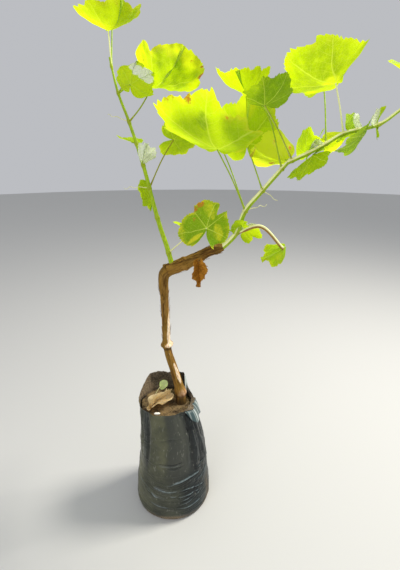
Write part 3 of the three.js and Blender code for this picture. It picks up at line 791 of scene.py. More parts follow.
# %% Crumbs on the soil
CRUMBS, TRUNK_CLEARANCE = 330, 13
CHIP_PLACE, CHIP_SIZE, CHIP_SHAPE = (-26, -46, 264), 6, (1.0, 0.6, 0.4)


def blob(centre, size, seed, stretch, turns=7, rows=5):
    """A small dented ball."""
    angle = np.pi * np.linspace(0, 1, rows + 2)[1:-1, None]
    turn = TAU * np.arange(turns) / turns + seed
    level, height = np.sin(angle), np.cos(angle)
    ball = np.stack([level * np.cos(turn), level * np.sin(turn), height + 0 * turn], -1)
    dent = 1 + 0.35 * uneven(ball + seed * 3.7, 0.8, seed, 2)
    rings = ball * dent[..., None] * np.array(stretch) * size + centre
    top = np.array([0, 0, stretch[2] * size])
    return skin(rings[::-1], centre - top, centre + top)


crumb_dice = np.random.default_rng(12)
roll = crumb_dice.uniform
crumbs = []
while len(crumbs) < CRUMBS:
    turn, share = crumb_dice.random(), crumb_dice.random() ** 0.5
    x, y = TRUNK_FOOT + (bag_ring(turn, 250, 5.0)[:2] - TRUNK_FOOT) * share
    if math.hypot(x - TRUNK_FOOT[0], y - TRUNK_FOOT[1]) < TRUNK_CLEARANCE:
        continue
    size = roll(0.5, 2.1)
    place = np.array([x, y, float(soil_height(x, y)) + size * 0.25])
    stretch = (roll(0.7, 1.5), roll(0.7, 1.3), roll(0.4, 0.8))
    crumbs.append(blob(place, size, len(crumbs), stretch))
soil_crumbs = add_piece("soil_crumbs", join(crumbs), soil_finish, "soil")
chip_finish = Finish("bleached_chip").surface(Base_Color=paint("f6f4ec"), Roughness=0.6)
chip_shape = blob(np.array(CHIP_PLACE), CHIP_SIZE, 4, CHIP_SHAPE, 14, 9)
chip = add_piece("bleached_chip", chip_shape, chip_finish, "dried_leaf")
print("crumbs:", len(crumbs), "faces:", faces_of(soil_crumbs, chip))

# %% [markdown]
# ## Bark
# Old vine wood has stringy bark in long shreds, grey brown outside and painted a darker orange
# brown in the grooves between them as shade. It is cream on the sunny side, partly where the bark
# has rubbed off and partly as painted sunlight, and shows raw wood at the callus. It is darker
# towards the soil and in a ring just below the trunk's knots. The mesh carries where it is rubbed
# and sunlit, darkened or raw and how deep each point lies between the fibres, and noise stretched
# along the wood adds the rest.

# %% Bark finish
def make_bark():
    bark = Finish("stringy_bark")
    place = bark.vector("fibre")
    shreds = bark.noise(place, 1.0, 5, 0.6)
    fine = bark.noise(bark.stretched(place, (3.1, 3.1, 2.2)), 1.0, 4)
    broad = bark.noise(bark.place((1, 1, 0.5)), 38, 3)
    height, worn, damp, raw = bark.values("height worn damp raw")
    # Darker where the bark lies deep between the fibres: painted shade in the grooves
    colour = bark.mix(height.band(0.2, 0.8), paint("543610"), paint("98702c"))
    colour = bark.mix(broad.band(0.4, 0.65) * 0.6, colour, paint("836624"))
    colour = bark.mix(shreds.band(0.45, 0.68) * 0.6, colour, paint("a58040"))
    colour = bark.mix(fine.band(0.56, 0.7) * 0.65, colour, paint("3c2a10"))
    # Darker towards the soil and in a ring just below the trunk's knots
    colour = bark.mix(damp * (0.8 + shreds * 0.3), colour, paint("3a2b18"))
    # Cream where bark has rubbed off and where sunlight is painted on
    rubbed_and_sunlit_share = (worn * (0.25 + shreds * 0.8 + fine * 0.6)).band(0.38, 0.58)
    cream = bark.mix(fine.band(0.35, 0.65), paint("fff0d2"), paint("d9b084"))
    colour = bark.mix(rubbed_and_sunlit_share, colour, cream)
    bare_wood = bark.mix(shreds.band(0.35, 0.65), paint("b07a50"), paint("e8bc96"))
    colour = bark.mix(raw * (0.55 + fine * 0.7), colour, bare_wood)
    normal = bark.bump(shreds * 0.6 + fine * 0.4, 0.0013, 0.95)
    rough = 0.85 - rubbed_and_sunlit_share * 0.2
    return bark.surface(Base_Color=colour, Roughness=rough, Normal=normal, Specular_IOR_Level=0.2)


bark_finish = make_bark()
print("bark nodes:", len(bark_finish.node_tree.nodes))

# %% [markdown]
# ## Trunk and arm
# The trunk leans left from its root flare, swells at a callus and at a knot, stands up, and ends at
# an elbow that was pruned. The arm is the same age and rougher. Both are tubes along the solids'
# curves. Ridges of two widths that run with the wood are worked into their points.

# %% Trunk and arm
ELBOW = (4, 6, 567)
TRUNK = Stem([
    (22.5, 8, SOIL_LEVEL - 8), (20, 8, 284), (10, 8, 331), (-1, 8, 372), (-5, 8, 399),
    (-6, 8, 455), (-7, 8, 510), (-8, 8, 540), (-5, 7.5, 557), ELBOW,
])
ARM = Stem([ELBOW, (14, 4, 571), (36, 0, 581), (63, -5, 596), (86, -10, 609), (108, -14, 617)])
# Radius at shares of the length
TRUNK_PROFILE = [
    (0, 14), (0.06, 11), (0.13, 10.6), (0.2, 9.2), (0.45, 8), (0.8, 8.4), (0.93, 10.5), (1, 12.5)
]
ARM_PROFILE = [(0, 12.5), (0.2, 12.5), (0.45, 11), (0.7, 9.5), (0.95, 8.5), (1, 6.5)]
# Share of the length, width and size
TRUNK_KNOTS = [(0.12, 0.03, 1.2), (0.48, 0.022, 5)]
ARM_KNOTS = [(0.32, 0.05, 1.5), (0.86, 0.05, 1.5)]
# The callus: share of the length and facing in turns, how far it spreads along both, and its lift
CALLUS, CALLUS_SPREAD, CALLUS_LIFT = (0.108, -0.11), (0.024, 0.14), 3.0
# Pale patches of the trunk, partly rubbed bark and partly painted sunlight: share of its length,
# facing in turns, spreads, and how pale
RUBBED_AND_SUNLIT_PATCHES = [
    ((0.25, -0.12), (0.068, 0.085), 1.2),
    ((0.33, -0.14), (0.03, 0.05), 0.45),
    ((0.54, -0.09), (0.055, 0.12), 1.2),
    ((0.62, -0.07), (0.085, 0.1), 1.2),
    ((0.485, -0.14), (0.014, 0.2), 0.85),
    ((0.42, -0.2), (0.025, 0.05), 0.45),
    ((0.78, -0.04), (0.1, 0.05), 0.4),
]
DARKENED_FOOT, DARKENED_TOP, DARKENED_MOST = SOIL_LEVEL + 4, SOIL_LEVEL + 30, 0.9
WOOD_SIDES, KNOT_FOOT = 84, 3.2


def facing(outward):
    """The turn that each outward direction faces."""
    return np.arctan2(outward[..., 1], outward[..., 0]) / TAU


def spot(off, turn_off, spread):
    """1 at the middle of a place of the bark and 0 beyond its spread in share and turn."""
    return np.exp(-((off / spread[0]) ** 2) - (turn_off / spread[1]) ** 2)


def trunk_rubbed_and_sunlit(share, outward):
    """Rubbed bark and painted sunlight, in a few soft patches on the sunny side."""
    turn, total = facing(outward), 0
    for (at, middle), spread, pale in RUBBED_AND_SUNLIT_PATCHES:
        total = total + pale * spot(share - at, between_turns(turn, middle), spread)
    return np.clip(total, 0, 1)


# The arm is paler on its upper side, partly worn and partly painted sunlight
def arm_worn_and_sunlit_top(share, outward):
    return 0.2 * ease(outward[..., 2], 0.3, 1)


def wood_tube(stem, profile, knots, roughness, seed, worn, rows, knot_ring=0.0, callus=0.0):
    """A limb of old wood. roughness scales its ridges, knot_ring darkens the feet of its knots,
    and callus is how far the callus stands out."""

    def reach(share, turn):
        return along(profile, share) + swellings(share, knots)

    rings, share, turn, outward = stem.rings(np.linspace(0, 1, rows), WOOD_SIDES, reach)
    run = share * stem.length
    grain = wrapped(turn, run, 8, 0.09)
    broad, fine = uneven(grain, 4.2, seed, 2), uneven(grain, 1.4, seed + 5, 2)
    gnarl = swellings(share, [(at, width * 1.6, 1) for at, width, _ in knots])
    lumps = uneven(rings, 6, seed + 9, 3) * (0.35 + 1.5 * gnarl)
    raw = spot(share - CALLUS[0], facing(outward) - CALLUS[1], CALLUS_SPREAD)
    lift = roughness * (0.55 * broad + 0.3 * fine) + 0.5 * lumps * roughness + callus * raw
    rings = rings + outward * lift[..., None]
    feet = [(share - at + width * 1.1) * stem.length / KNOT_FOOT for at, width, _ in knots]
    damp = DARKENED_MOST - DARKENED_MOST * ease(rings[..., 2] + 5 * broad, DARKENED_FOOT, DARKENED_TOP)
    values = {
        "fibre": wrapped(turn, run, 2.4, 0.05),
        "height": np.clip(0.5 + 0.4 * broad + 0.25 * fine, 0, 1),
        "worn": worn(share, outward),
        "raw": raw * (callus > 0),
        "damp": np.maximum(damp, knot_ring * np.clip(sum(map(bell, feet)), 0, 1)),
    }
    return skin(rings, stem.at(0), stem.at(1), values)


trunk_skin = wood_tube(
    TRUNK, TRUNK_PROFILE, TRUNK_KNOTS, 1.0, 51, trunk_rubbed_and_sunlit, 320, 0.8, CALLUS_LIFT
)
arm_skin = wood_tube(ARM, ARM_PROFILE, ARM_KNOTS, 1.9, 61, arm_worn_and_sunlit_top, 190)
trunk = add_piece("trunk_bark", trunk_skin, bark_finish, "bark", "trunk")
arm = add_piece("arm_bark", arm_skin, bark_finish, "bark", "arm")
print("trunk and arm faces:", faces_of(trunk, arm))

# %% The pruned stub and the peeling shreds
STUB = Stem([(-1, 7, 560), (-3, 7, 577)])
SHREDS, SHRED_ROWS, SHRED_HALF = 46, 9, 0.15


def wood_values(shape, worn):
    """The same skin with the values that bark reads."""
    points = shape[0]
    fibre = points * (0.28, 0.28, 0.1)
    height = np.clip(0.5 + 0.4 * uneven(points, 3, 71, 2), 0, 1)[:, None]
    return with_values(shape, fibre=fibre, height=height, worn=worn, damp=0, raw=0)


def stub_reach(share, turn):
    return along([(0, 7), (1, 5)], share) + 0.35 * np.sin(6 * TAU * turn) * share


shred_dice = np.random.default_rng(31)
roll = shred_dice.uniform
shreds = []
for i in range(SHREDS):
    on_arm = i % 2 == 0
    stem, profile = (ARM, ARM_PROFILE) if on_arm else (TRUNK, TRUNK_PROFILE)
    start = roll(0.03, 0.8) if on_arm else roll(0.5, 0.93)
    length = roll(12, 34) / stem.length
    turn, width = shred_dice.random(), roll(0.8, 2.4)
    lift = roll(0.8, 3.2 if on_arm else 2.0)
    t = np.linspace(0, 1, SHRED_ROWS)
    shares = np.clip(np.linspace(start, start + length, SHRED_ROWS), 0, 1)
    middle, side, across = stem.frame(shares)
    angle = TAU * turn + 0.5 * t * roll(-1, 1)
    sine, cosine = np.sin(angle)[:, None], np.cos(angle)[:, None]
    outward, sideways = side * cosine + across * sine, across * cosine - side * sine
    spine = middle + outward * (along(profile, shares) + 0.7 + lift * t**2.5)[:, None]
    slim = width * (0.35 + 0.65 * np.sin(np.pi * (0.15 + 0.8 * t)))
    edge, thick = sideways * slim[:, None] / 2, outward * SHRED_HALF
    corners = ((-1, 1), (1, 1), (1, -1), (-1, -1))
    rings = np.stack([spine + across * edge + up * thick for across, up in corners], 1)
    shreds.append(wood_values(skin(rings, spine[0], spine[-1]), 0.1))
stub_shape = wood_values(STUB.tube(24, 40, stub_reach), 0.25)
stub = add_piece("pruned_stub", stub_shape, bark_finish, "bark")
peeling = add_piece("peeling_bark", join(shreds), bark_finish, "bark")
print("shreds:", len(shreds), "faces:", faces_of(stub, peeling))

# %% [markdown]
# ## Green canes
# This year's shoots are smooth, green and faintly grooved, pale where the sun strikes, and reddish
# at the nodes. Each node swells, with a bud in the corner of its leaf stalk. The finish reads how
# near a node a point lies, and stalks share it, as they have the same skin.

# %% Cane finish
def make_cane_finish():
    cane = Finish("green_shoot_skin")
    place = cane.place()
    stripes, specks = cane.noise(cane.place((1, 1, 0.15)), 600, 3), cane.noise(place, 900, 2)
    patches = cane.noise(place, 26, 3)
    red, lit, dry = cane.values("red lit dry")
    colour = cane.mix(stripes.band(0.35, 0.7), paint("8fae12"), paint("b4cf28"))
    colour = cane.mix(patches.band(0.5, 0.7) * 0.5, colour, paint("8a9a1c"))
    sunlit = (lit * (0.4 + patches * 1.2)).band(0.16, 0.5) * 0.9
    colour = cane.mix(sunlit, colour, paint("fffcc0"))
    colour = cane.mix(red * (0.4 + specks * 0.7), colour, paint("9c7a2e"))
    dried = cane.mix(specks.band(0.4, 0.6), paint("b8854a"), paint("8a5a2a"))
    colour = cane.mix(dry, colour, dried)
    normal = cane.bump(stripes, 0.0004, 0.6)
    rough = 0.45 + red * 0.2
    return cane.surface(Base_Color=colour, Roughness=rough, Normal=normal, Specular_IOR_Level=0.25)


cane_finish = make_cane_finish()
BEND = (208, -48, 767)
LEFT = Stem([
    (12, 5, 571), (0, 8, 617), (-9, 10, 645), (-20, 12, 687), (-37, 14, 761), (-58, 16, 832),
    (-74, 17, 878), (-82, 18, 917), (-84, 18, 930),
])
RIGHT = Stem([
    (104, -13, 614), (118, -15, 627), (132, -18, 645), (145, -25, 685), (172, -34, 721), BEND
])
END = Stem([
    BEND, (237, -57, 781), (262, -64, 795), (284, -72, 809), (329, -90, 821), (352, -100, 840),
    (378, -112, 862), (402, -122, 892),
])
# Each limb that bears leaves, and the shares of its length where its nodes are
LIMBS = {
    "left": (LEFT, [0.083, 0.27, 0.418, 0.528, 0.629, 0.727, 0.854, 0.964]),
    "right": (RIGHT, [0.221, 0.444, 0.685, 0.93]),
    "end": (END, [0.03, 0.135, 0.254, 0.365, 0.44, 0.566, 0.7, 0.82, 0.92]),
    "arm": (ARM, [0.52]),
}
# Solid, radius along the cane, swelling at a node, and how sunny it is
CANES = {
    "left": ("left_cane", [(0, 5.4), (0.06, 4.7), (0.5, 3.4), (1, 1.6)], 1.0, 0.45),
    "right": ("right_cane", [(0, 5), (0.5, 4.2), (1, 3.4)], 1.2, 0.65),
    "end": ("right_cane_end", [(0, 3.6), (0.5, 2.7), (1, 1.3)], 0.9, 0.8),
}
# The way that the sunny side faces
SUN_SIDE = np.array([-0.25, -0.4, 0.85])
CANE_SIDES, GROOVES, GROOVE_DEPTH = 28, 9, 0.018
KNOT_WIDTH, DENSE_REACH, NODE_REACH = 0.012, 0.03, 5


def cane_skin(stem, nodes, profile, swell, sun):
    """A cane with swollen nodes. Its upper side is the lit one."""
    knots = [(at, KNOT_WIDTH, swell) for at in nodes]
    dense = [at + np.linspace(-DENSE_REACH, DENSE_REACH, 25) for at in nodes]
    shares = np.unique(np.concatenate([np.linspace(0, 1, 220), *dense]).clip(0, 1))

    def reach(share, turn):
        grooved = 1 + GROOVE_DEPTH * np.sin(GROOVES * TAU * turn)
        return (along(profile, share) + swellings(share, knots)) * grooved

    rings, share, turn, outward = stem.rings(shares, CANE_SIDES, reach)
    rings = rings + outward * (0.12 * uneven(rings, 5, 81, 2))[..., None]
    near = sum(bell((share - at) * stem.length / NODE_REACH) for at in nodes)
    mottled = (sun + 0.6 * uneven(rings, 45, 83, 1)).clip(0.1, 1)
    sunny = ease(outward @ SUN_SIDE, 0.3, 0.65) * mottled
    values = {"red": 0.3 * near.clip(0, 1), "lit": sunny, "dry": 0 * share}
    return skin(rings, stem.at(0), stem.at(1), values)


canes = [
    add_piece(node + "_skin", cane_skin(*LIMBS[key], *look), cane_finish, "green_cane", node)
    for key, (node, *look) in CANES.items()
]
print("cane faces:", faces_of(*canes))

# %% Buds and tendrils
BUD_SIDES, BUD_SIZE, RIGHT_BUD_SIZE = (245, 65), 1.7, 2.3
# Limb and node, heading, rise, length, turns of the coil and seed
TENDRILS = [
    ("right", 1, 20, 20, 46, 2.2, 3),
    ("right", 2, -20, -25, 30, 1.4, 4),
    ("left", 2, 200, 10, 48, 2.4, 5),
    ("left", 5, 190, 25, 40, 2.0, 6),
    ("end", 4, 60, -30, 42, 2.6, 7),
    ("end", 7, -70, 20, 44, 2.4, 8),
]


def heading(degrees, rise):
    """A direction from its heading, from +X towards +Y, and its rise, both in degrees."""
    turn, up = math.radians(degrees), math.radians(rise)
    return np.array([math.cos(up) * math.cos(turn), math.cos(up) * math.sin(turn), math.sin(up)])


def bud(stem, place, side, size):
    """A pointed bud in the corner of a node."""
    foot, way, out = stem.at(place), stem.at(place, stem.ways), heading(side, 35)
    middle = foot + out * size * 1.3 + way * size * 0.3
    tip = foot + out * (size * 1.9) + way * size * 1.6
    return Stem([foot, middle, tip]).tube(
        10, 10, lambda share, turn: size * 0.9 * np.sin(np.pi * (0.25 + 0.74 * share))
    )


def tendril(limb, node, degrees, rise, length, loops, seed):
    """A thin thread that runs out straight, then coils."""
    stem, nodes = LIMBS[limb]
    way = heading(degrees, rise)
    dice = np.random.default_rng(seed)
    t = np.linspace(0, 1, 40)[:, None]
    side = np.cross(way, (0, 0, 1.0))
    side = side / np.linalg.norm(side)
    coil = 0.09 * length * t**2.2 * (1.5 - t)
    turn = TAU * loops * t**1.6 + dice.uniform(0, 6)
    path = stem.at(nodes[node]) + way * length * t - np.array([0, 0, 0.16 * length]) * t**2
    path = path + coil * (np.cos(turn) * side + np.sin(turn) * np.cross(side, way))
    return Stem(path[::2]).tube(90, 6, lambda share, turn: 0.75 - 0.4 * share)


buds = [
    bud(LIMBS[key][0], at, BUD_SIDES[i % 2], RIGHT_BUD_SIZE if key == "right" else BUD_SIZE)
    for key in CANES
    for i, at in enumerate(LIMBS[key][1])
]
buds = [with_values(shape, red=0.6, lit=0.2, dry=0) for shape in buds]
tendrils = [with_values(tendril(*given), red=0.2, lit=0.6, dry=0) for given in TENDRILS]
add_piece("buds_and_tendrils", join(buds + tendrils), cane_finish, "green_cane")
print("buds:", len(buds), "tendrils:", len(tendrils))

# %% [markdown]
# ## Leaf finish
# A grape leaf is thin, and light shines through it. Five main veins fan out from the stalk, side
# veins leave them at a slant, and a fine net fills the gaps. The mesh carries the point's place on
# the flat leaf, so the veins are worked out from it: the nearest main vein, how far along it, and
# how far beside it. Age turns the margin yellow and rusts it in spots. Where the sun glares off a
# leaf it is painted almost white as a highlight. Parts are deep green, partly their own darker
# green and partly painted shade where a leaf is folded over or shaded by others, and there less
# light gets through.

# %% Leaf finish
VEIN_ANGLES = [0, 48, 108]
GLARE_WHITE, GLARE_VEIN = paint("fdfff2"), paint("a9bd84")
# Young, old, shade, vein, margin and spot, then the share and the colour of light let through,
# and the roughness
LEAF_COLOURS = {
    "thin_green_leaf": ("b9de0a 9ccb06 5f9a06 e6f56a fff03a dc6a28", 0.52, "d8f00a", 0.5),
    "yellowing_leaf": ("f6ff34 ecf824 b4d010 fdffb0 fffc80 e06028", 0.75, "f6ff30", 0.5),
    "dead_brown_leaf": ("c28a32 a26c24 80521a 6a4a20 c9a45c 5c3a14", 0.3, "d89434", 0.75),
    "dry_tan_leaf": ("ffeab4 fdd898 dcae60 e6c080 fff4d0 7a4c28", 0.2, "ffe0a0", 0.75),
    # A young leaf, made paler still as painted full sunlight
    "young_pale_and_sunlit_leaf": ("f2ffc0 e6ffa8 d2f080 faffe0 fcffd0 a08a3c", 0.45, "e4ff90", 0.45),
}


def leaf_veins(leaf, flat, sway):
    """Masks for the main and side veins, the net between them and the green beside main veins."""
    split = leaf.node("SeparateXYZ", None, {0: flat})
    x, y = (Wire(leaf, split.socket.node.outputs[i]) + (sway - 0.5) * 0.07 for i in (0, 1))
    angle = x.call("ARCTAN2", y).call("ABSOLUTE")
    reach = (x * x + y * y).call("SQRT")
    off = angle
    for degrees in VEIN_ANGLES[1:]:
        off = off.call("MINIMUM", (angle - math.radians(degrees)).call("ABSOLUTE"))
    on, beside = reach * off.call("COSINE"), reach * off.call("SINE")
    main = (beside + reach * 0.008).band(0.02, 0.009)
    flank = (beside + (sway - 0.5) * 0.05).band(0.11, 0.015)
    slant = ((on - beside * 0.85) * 6.5 + sway).call("FRACT")
    side = (slant - 0.5).call("ABSOLUTE").band(0.455, 0.49) * beside.band(0.34, 0.1)
    cells = {"Vector": flat, "Scale": 19.0}
    net = leaf.node("TexVoronoi", {"feature": "DISTANCE_TO_EDGE"}, cells, "Distance")
    return main, side, net, flank


def make_leaf_finish(name, colours, glow, glow_colour, roughness):
    """A leaf material. Each further layer of colour covers some of those before it."""
    young, old, shade, vein, margin, spot = map(paint, colours.split())
    leaf = Finish(name)
    flat = leaf.vector("flat")
    sway = leaf.noise(flat, 3.0, 2)
    main, side, net, flank = leaf_veins(leaf, flat, sway)
    veins = main.call("MAXIMUM", side * 0.7).call("MAXIMUM", net.band(0.1, 0.02) * 0.3)
    mottle, spots = leaf.noise(flat, 4.0, 4), leaf.noise(flat, 8.0, 5, 0.65)
    flecks = leaf.noise(flat, 22.0, 4, 0.7)
    rim, age, gold, mark, deep, glare = leaf.values("rim age gold mark deep glare")
    colour = leaf.mix(mottle.band(0.38, 0.62), young, old)
    colour = leaf.mix(spots.band(0.44, 0.64) * 0.42, colour, shade)
    colour = leaf.mix(flank * (0.2 + spots * 0.5), colour, shade)
    # Deep green, partly the leaf's own and partly painted shade, which also lets less light through
    deep = (deep * (0.25 + mottle * 0.6 + spots * 0.7)).band(0.15, 1.0)
    colour = leaf.mix(deep, colour, shade)
    yellow = (gold * (0.15 + mottle * 0.5 + spots * 1.1)).band(0.3, 0.85)
    edge = (rim + (mottle - 0.5) * 0.6 + age * 0.25).band(0.9, 1.25) * age.band(0.0, 0.3)
    colour = leaf.mix(yellow.call("MAXIMUM", edge), colour, margin)
    colour = leaf.mix(veins * 0.75, colour, vein)
    rust = (spots + rim * 0.14 + age * 0.13).band(0.84, 0.92) * age.band(0.15, 0.6)
    rust = rust.call("MAXIMUM", (mark * (flecks * 1.3 + spots * 0.6)).band(0.5, 0.8))
    colour = leaf.mix(rust, colour, spot)
    glare = (glare * (0.1 + spots * 0.9 + flecks * 0.9)).band(0.34, 0.6)
    colour = leaf.mix(glare * 0.92, colour, leaf.mix(veins * 0.7, GLARE_WHITE, GLARE_VEIN))
    height = mottle * 0.25 + (1 - veins) * 0.45 + net.band(0.0, 0.3) * 0.3
    normal = leaf.bump(height, 0.0012, 0.8)
    lit = (glow + yellow * 0.2) * (1 - deep * 0.45) * (1 - glare * 0.8) * (1 - rust * 0.8)
    rough = roughness - glare * 0.1
    sockets = {"Base_Color": colour, "Roughness": rough, "Normal": normal}
    return leaf.surface((lit, paint(glow_colour)), Specular_IOR_Level=0.16, **sockets)


leaf_finishes = {name: make_leaf_finish(name, *given) for name, given in LEAF_COLOURS.items()}
print("leaf finishes:", *leaf_finishes)

# %% [markdown]
# ## One leaf
# The flat outline is given for one half by degrees from the midrib: lobes and gaps in turn, with
# teeth that lean towards the tip. The blade is then rippled, cupped, folded along its midrib and
# bent over by the solids' own rule, so that each leaf fills the same space as its solid. Between
# the veins it bulges a little, and its edge is wavy.

# %% Leaf outline and blade
# Degrees from the midrib, and reach of the outline as a share of the midrib
HALF_OUTLINE = [
    (0, 1), (10, 0.88), (15, 0.91), (27, 0.76), (37, 0.87), (48, 0.95), (60, 0.79), (70, 0.84),
    (83, 0.7), (95, 0.79), (108, 0.8), (122, 0.64), (140, 0.6), (160, 0.4), (172, 0.16),
    (180, 0.05),
]
STALK_GAP, BASAL_LOBES = 160, 100
RIPPLES, COLUMNS = 5, 336
RINGS_SMALL, RINGS_LARGE, SMALL_BLADE = 14, 26, 60
TOOTH_STEP, TOOTH_SIZE = 7.2, 0.03
OWN_ROUNDING, COMMON_ROUNDING, LEFT_SEED = 2, 4, 2.4
BULGE, VEIN_GROOVE = 0.007, 0.05
# A patch is full within the first share of its size, and ends at the second
PATCH_FULL, PATCH_END = 0.2, 1.25


def rounded(half, degrees, rounding):
    """The outline of one half with its corners rounded over a few degrees."""
    return sum(along(half, abs(degrees + step)) for step in (-rounding, 0, 0, rounding)) / 4


def half_reach(degrees, half, own, seed):
    """Reach of the outline at degrees from the midrib, with teeth of uneven size."""
    if half:
        reach = rounded(half, degrees, OWN_ROUNDING)
    else:
        lobing = own.get("lobing", 1)
        round_leaf = 0.97 - 0.42 * (degrees / STALK_GAP) ** 2
        lobed = rounded(HALF_OUTLINE, degrees, COMMON_ROUNDING)
        reach = round_leaf * (1 - lobing) + lobed * lobing
        reach = np.where(degrees > STALK_GAP, along(HALF_OUTLINE, degrees), reach)
        reach = reach * np.where(degrees > BASAL_LOBES, own.get("basal", 1), 1)
    place = degrees / TOOTH_STEP + 0.45 * np.sin(degrees * 0.11 + seed)
    tooth = (1 - 2 * (place % 1)) * (0.8 + 0.5 * np.sin(degrees * 0.23 + 2 * seed))
    tooth = tooth * own.get("teeth", 1)
    return reach * (1 + TOOTH_SIZE * tooth * ease(180 - degrees, 12, 40))


def blade_points(length, bend, own, seed):
    """Points of a blade whose stalk ends at the origin, with its midrib along +Y and its face up.

    Also gives their places on the flat leaf, and the share of the way to the edge.
    """
    right_fold, left_fold, cup, droop = bend
    degrees = np.linspace(-180, 180, COLUMNS, endpoint=False)
    halves = zip(own.get("outline", (None, None)), (0, LEFT_SEED))
    reaches = [half_reach(abs(degrees), half, own, seed + shift) for half, shift in halves]
    reach, angle = np.where(degrees >= 0, *reaches), np.radians(degrees)[None, :]
    share = np.linspace(0.03, 1, RINGS_SMALL if length < SMALL_BLADE else RINGS_LARGE)[:, None]
    radius = reach * share
    x, y = radius * np.sin(angle), radius * np.cos(angle)
    off = np.min([abs(abs(angle) - math.radians(vein)) for vein in VEIN_ANGLES], axis=0)
    beside = radius * np.sin(np.minimum(off, 1.2))
    flat = np.stack([x, y, np.full_like(x, seed * 0.37)], -1)
    lift = own.get("ripple", 0.03) * share**2 * np.sin(RIPPLES * angle) + cup * radius**2
    lift = lift + BULGE * (1 - bell(beside / VEIN_GROOVE)) * (1 - share**4)
    lift = lift + (0.016 * share**2 + own.get("quilt", 0.006)) * uneven(flat + seed, 0.22, 90, 2)
    lift = lift + own.get("crumple", 0) * uneven(flat + seed, 0.3, 95, 3)
    fold = np.radians(np.where(x >= 0, right_fold, left_fold))
    folded_x = np.sign(x) * (abs(x) * np.cos(fold) - lift * np.sin(fold))
    folded_z = abs(x) * np.sin(fold) + lift * np.cos(fold)
    turn, hoop = math.radians(droop) * y, 1 / math.radians(droop)
    drooped_z = -hoop * (1 - np.cos(turn)) + folded_z * np.cos(turn)
    points = np.stack([folded_x, (hoop + folded_z) * np.sin(turn), drooped_z], -1)
    return points * length, flat, np.broadcast_to(share, x.shape)


def set_blade(points, base, degrees, rise, roll):
    """Turns blade points to their heading, rise and roll, and moves the stalk end to its place."""
    aim, level = heading(degrees, rise), heading(degrees + 90, 0)
    across = level * math.cos(math.radians(roll))
    across = across + np.cross(aim, level) * math.sin(math.radians(roll))
    up = np.cross(aim, across)
    return base - points[..., :1] * across + points[..., 1:2] * aim + points[..., 2:] * up


def patch(x, y, places):
    """1 inside any of the round places (x, y, size, strength) of the flat leaf, and 0 outside."""
    total = 0 * x
    for px, py, size, *strength in places:
        inside = 1 - ease(np.hypot(x - px, y - py), size * PATCH_FULL, size * PATCH_END)
        total = np.maximum(total, inside * (strength[0] if strength else 1))
    return total


def blade_skin(blade, bend, own, base, seed):
    """A finished blade with the values that its finish reads, each a number or a list of places."""
    length, *pose = blade
    points, flat, rim = blade_points(length, bend, own, seed)
    x, y = flat[..., 0], flat[..., 1]
    values = {"flat": flat, "rim": rim, "age": own.get("age", 0.15) + 0 * x}
    for key in ("deep", "glare", "gold", "mark"):
        given = own.get(key, [])
        values[key] = patch(x, y, given) if isinstance(given, list) else given + 0 * x
    return skin(set_blade(points, base, *pose), base, None, values)


print("reach of a leaf at its first side lobe:", along(HALF_OUTLINE, VEIN_ANGLES[1]))

# %% [markdown]
# ## All the leaves
# Each leaf has its node on a cane, a stalk and a blade, with the same numbers as its solid. What
# sets single leaves apart is given by name: the outline of those seen best, where it is deep green
# or painted in shade, where a glare of sun is painted on it, and how far it has aged. The stalk is
# thicker at both ends, and reddish where it leaves the cane.

# %% Leaf places
# The bends of a blade are the fold of its right and left half, its cup and its droop
PLAIN = (12, 12, 0.1, 10)
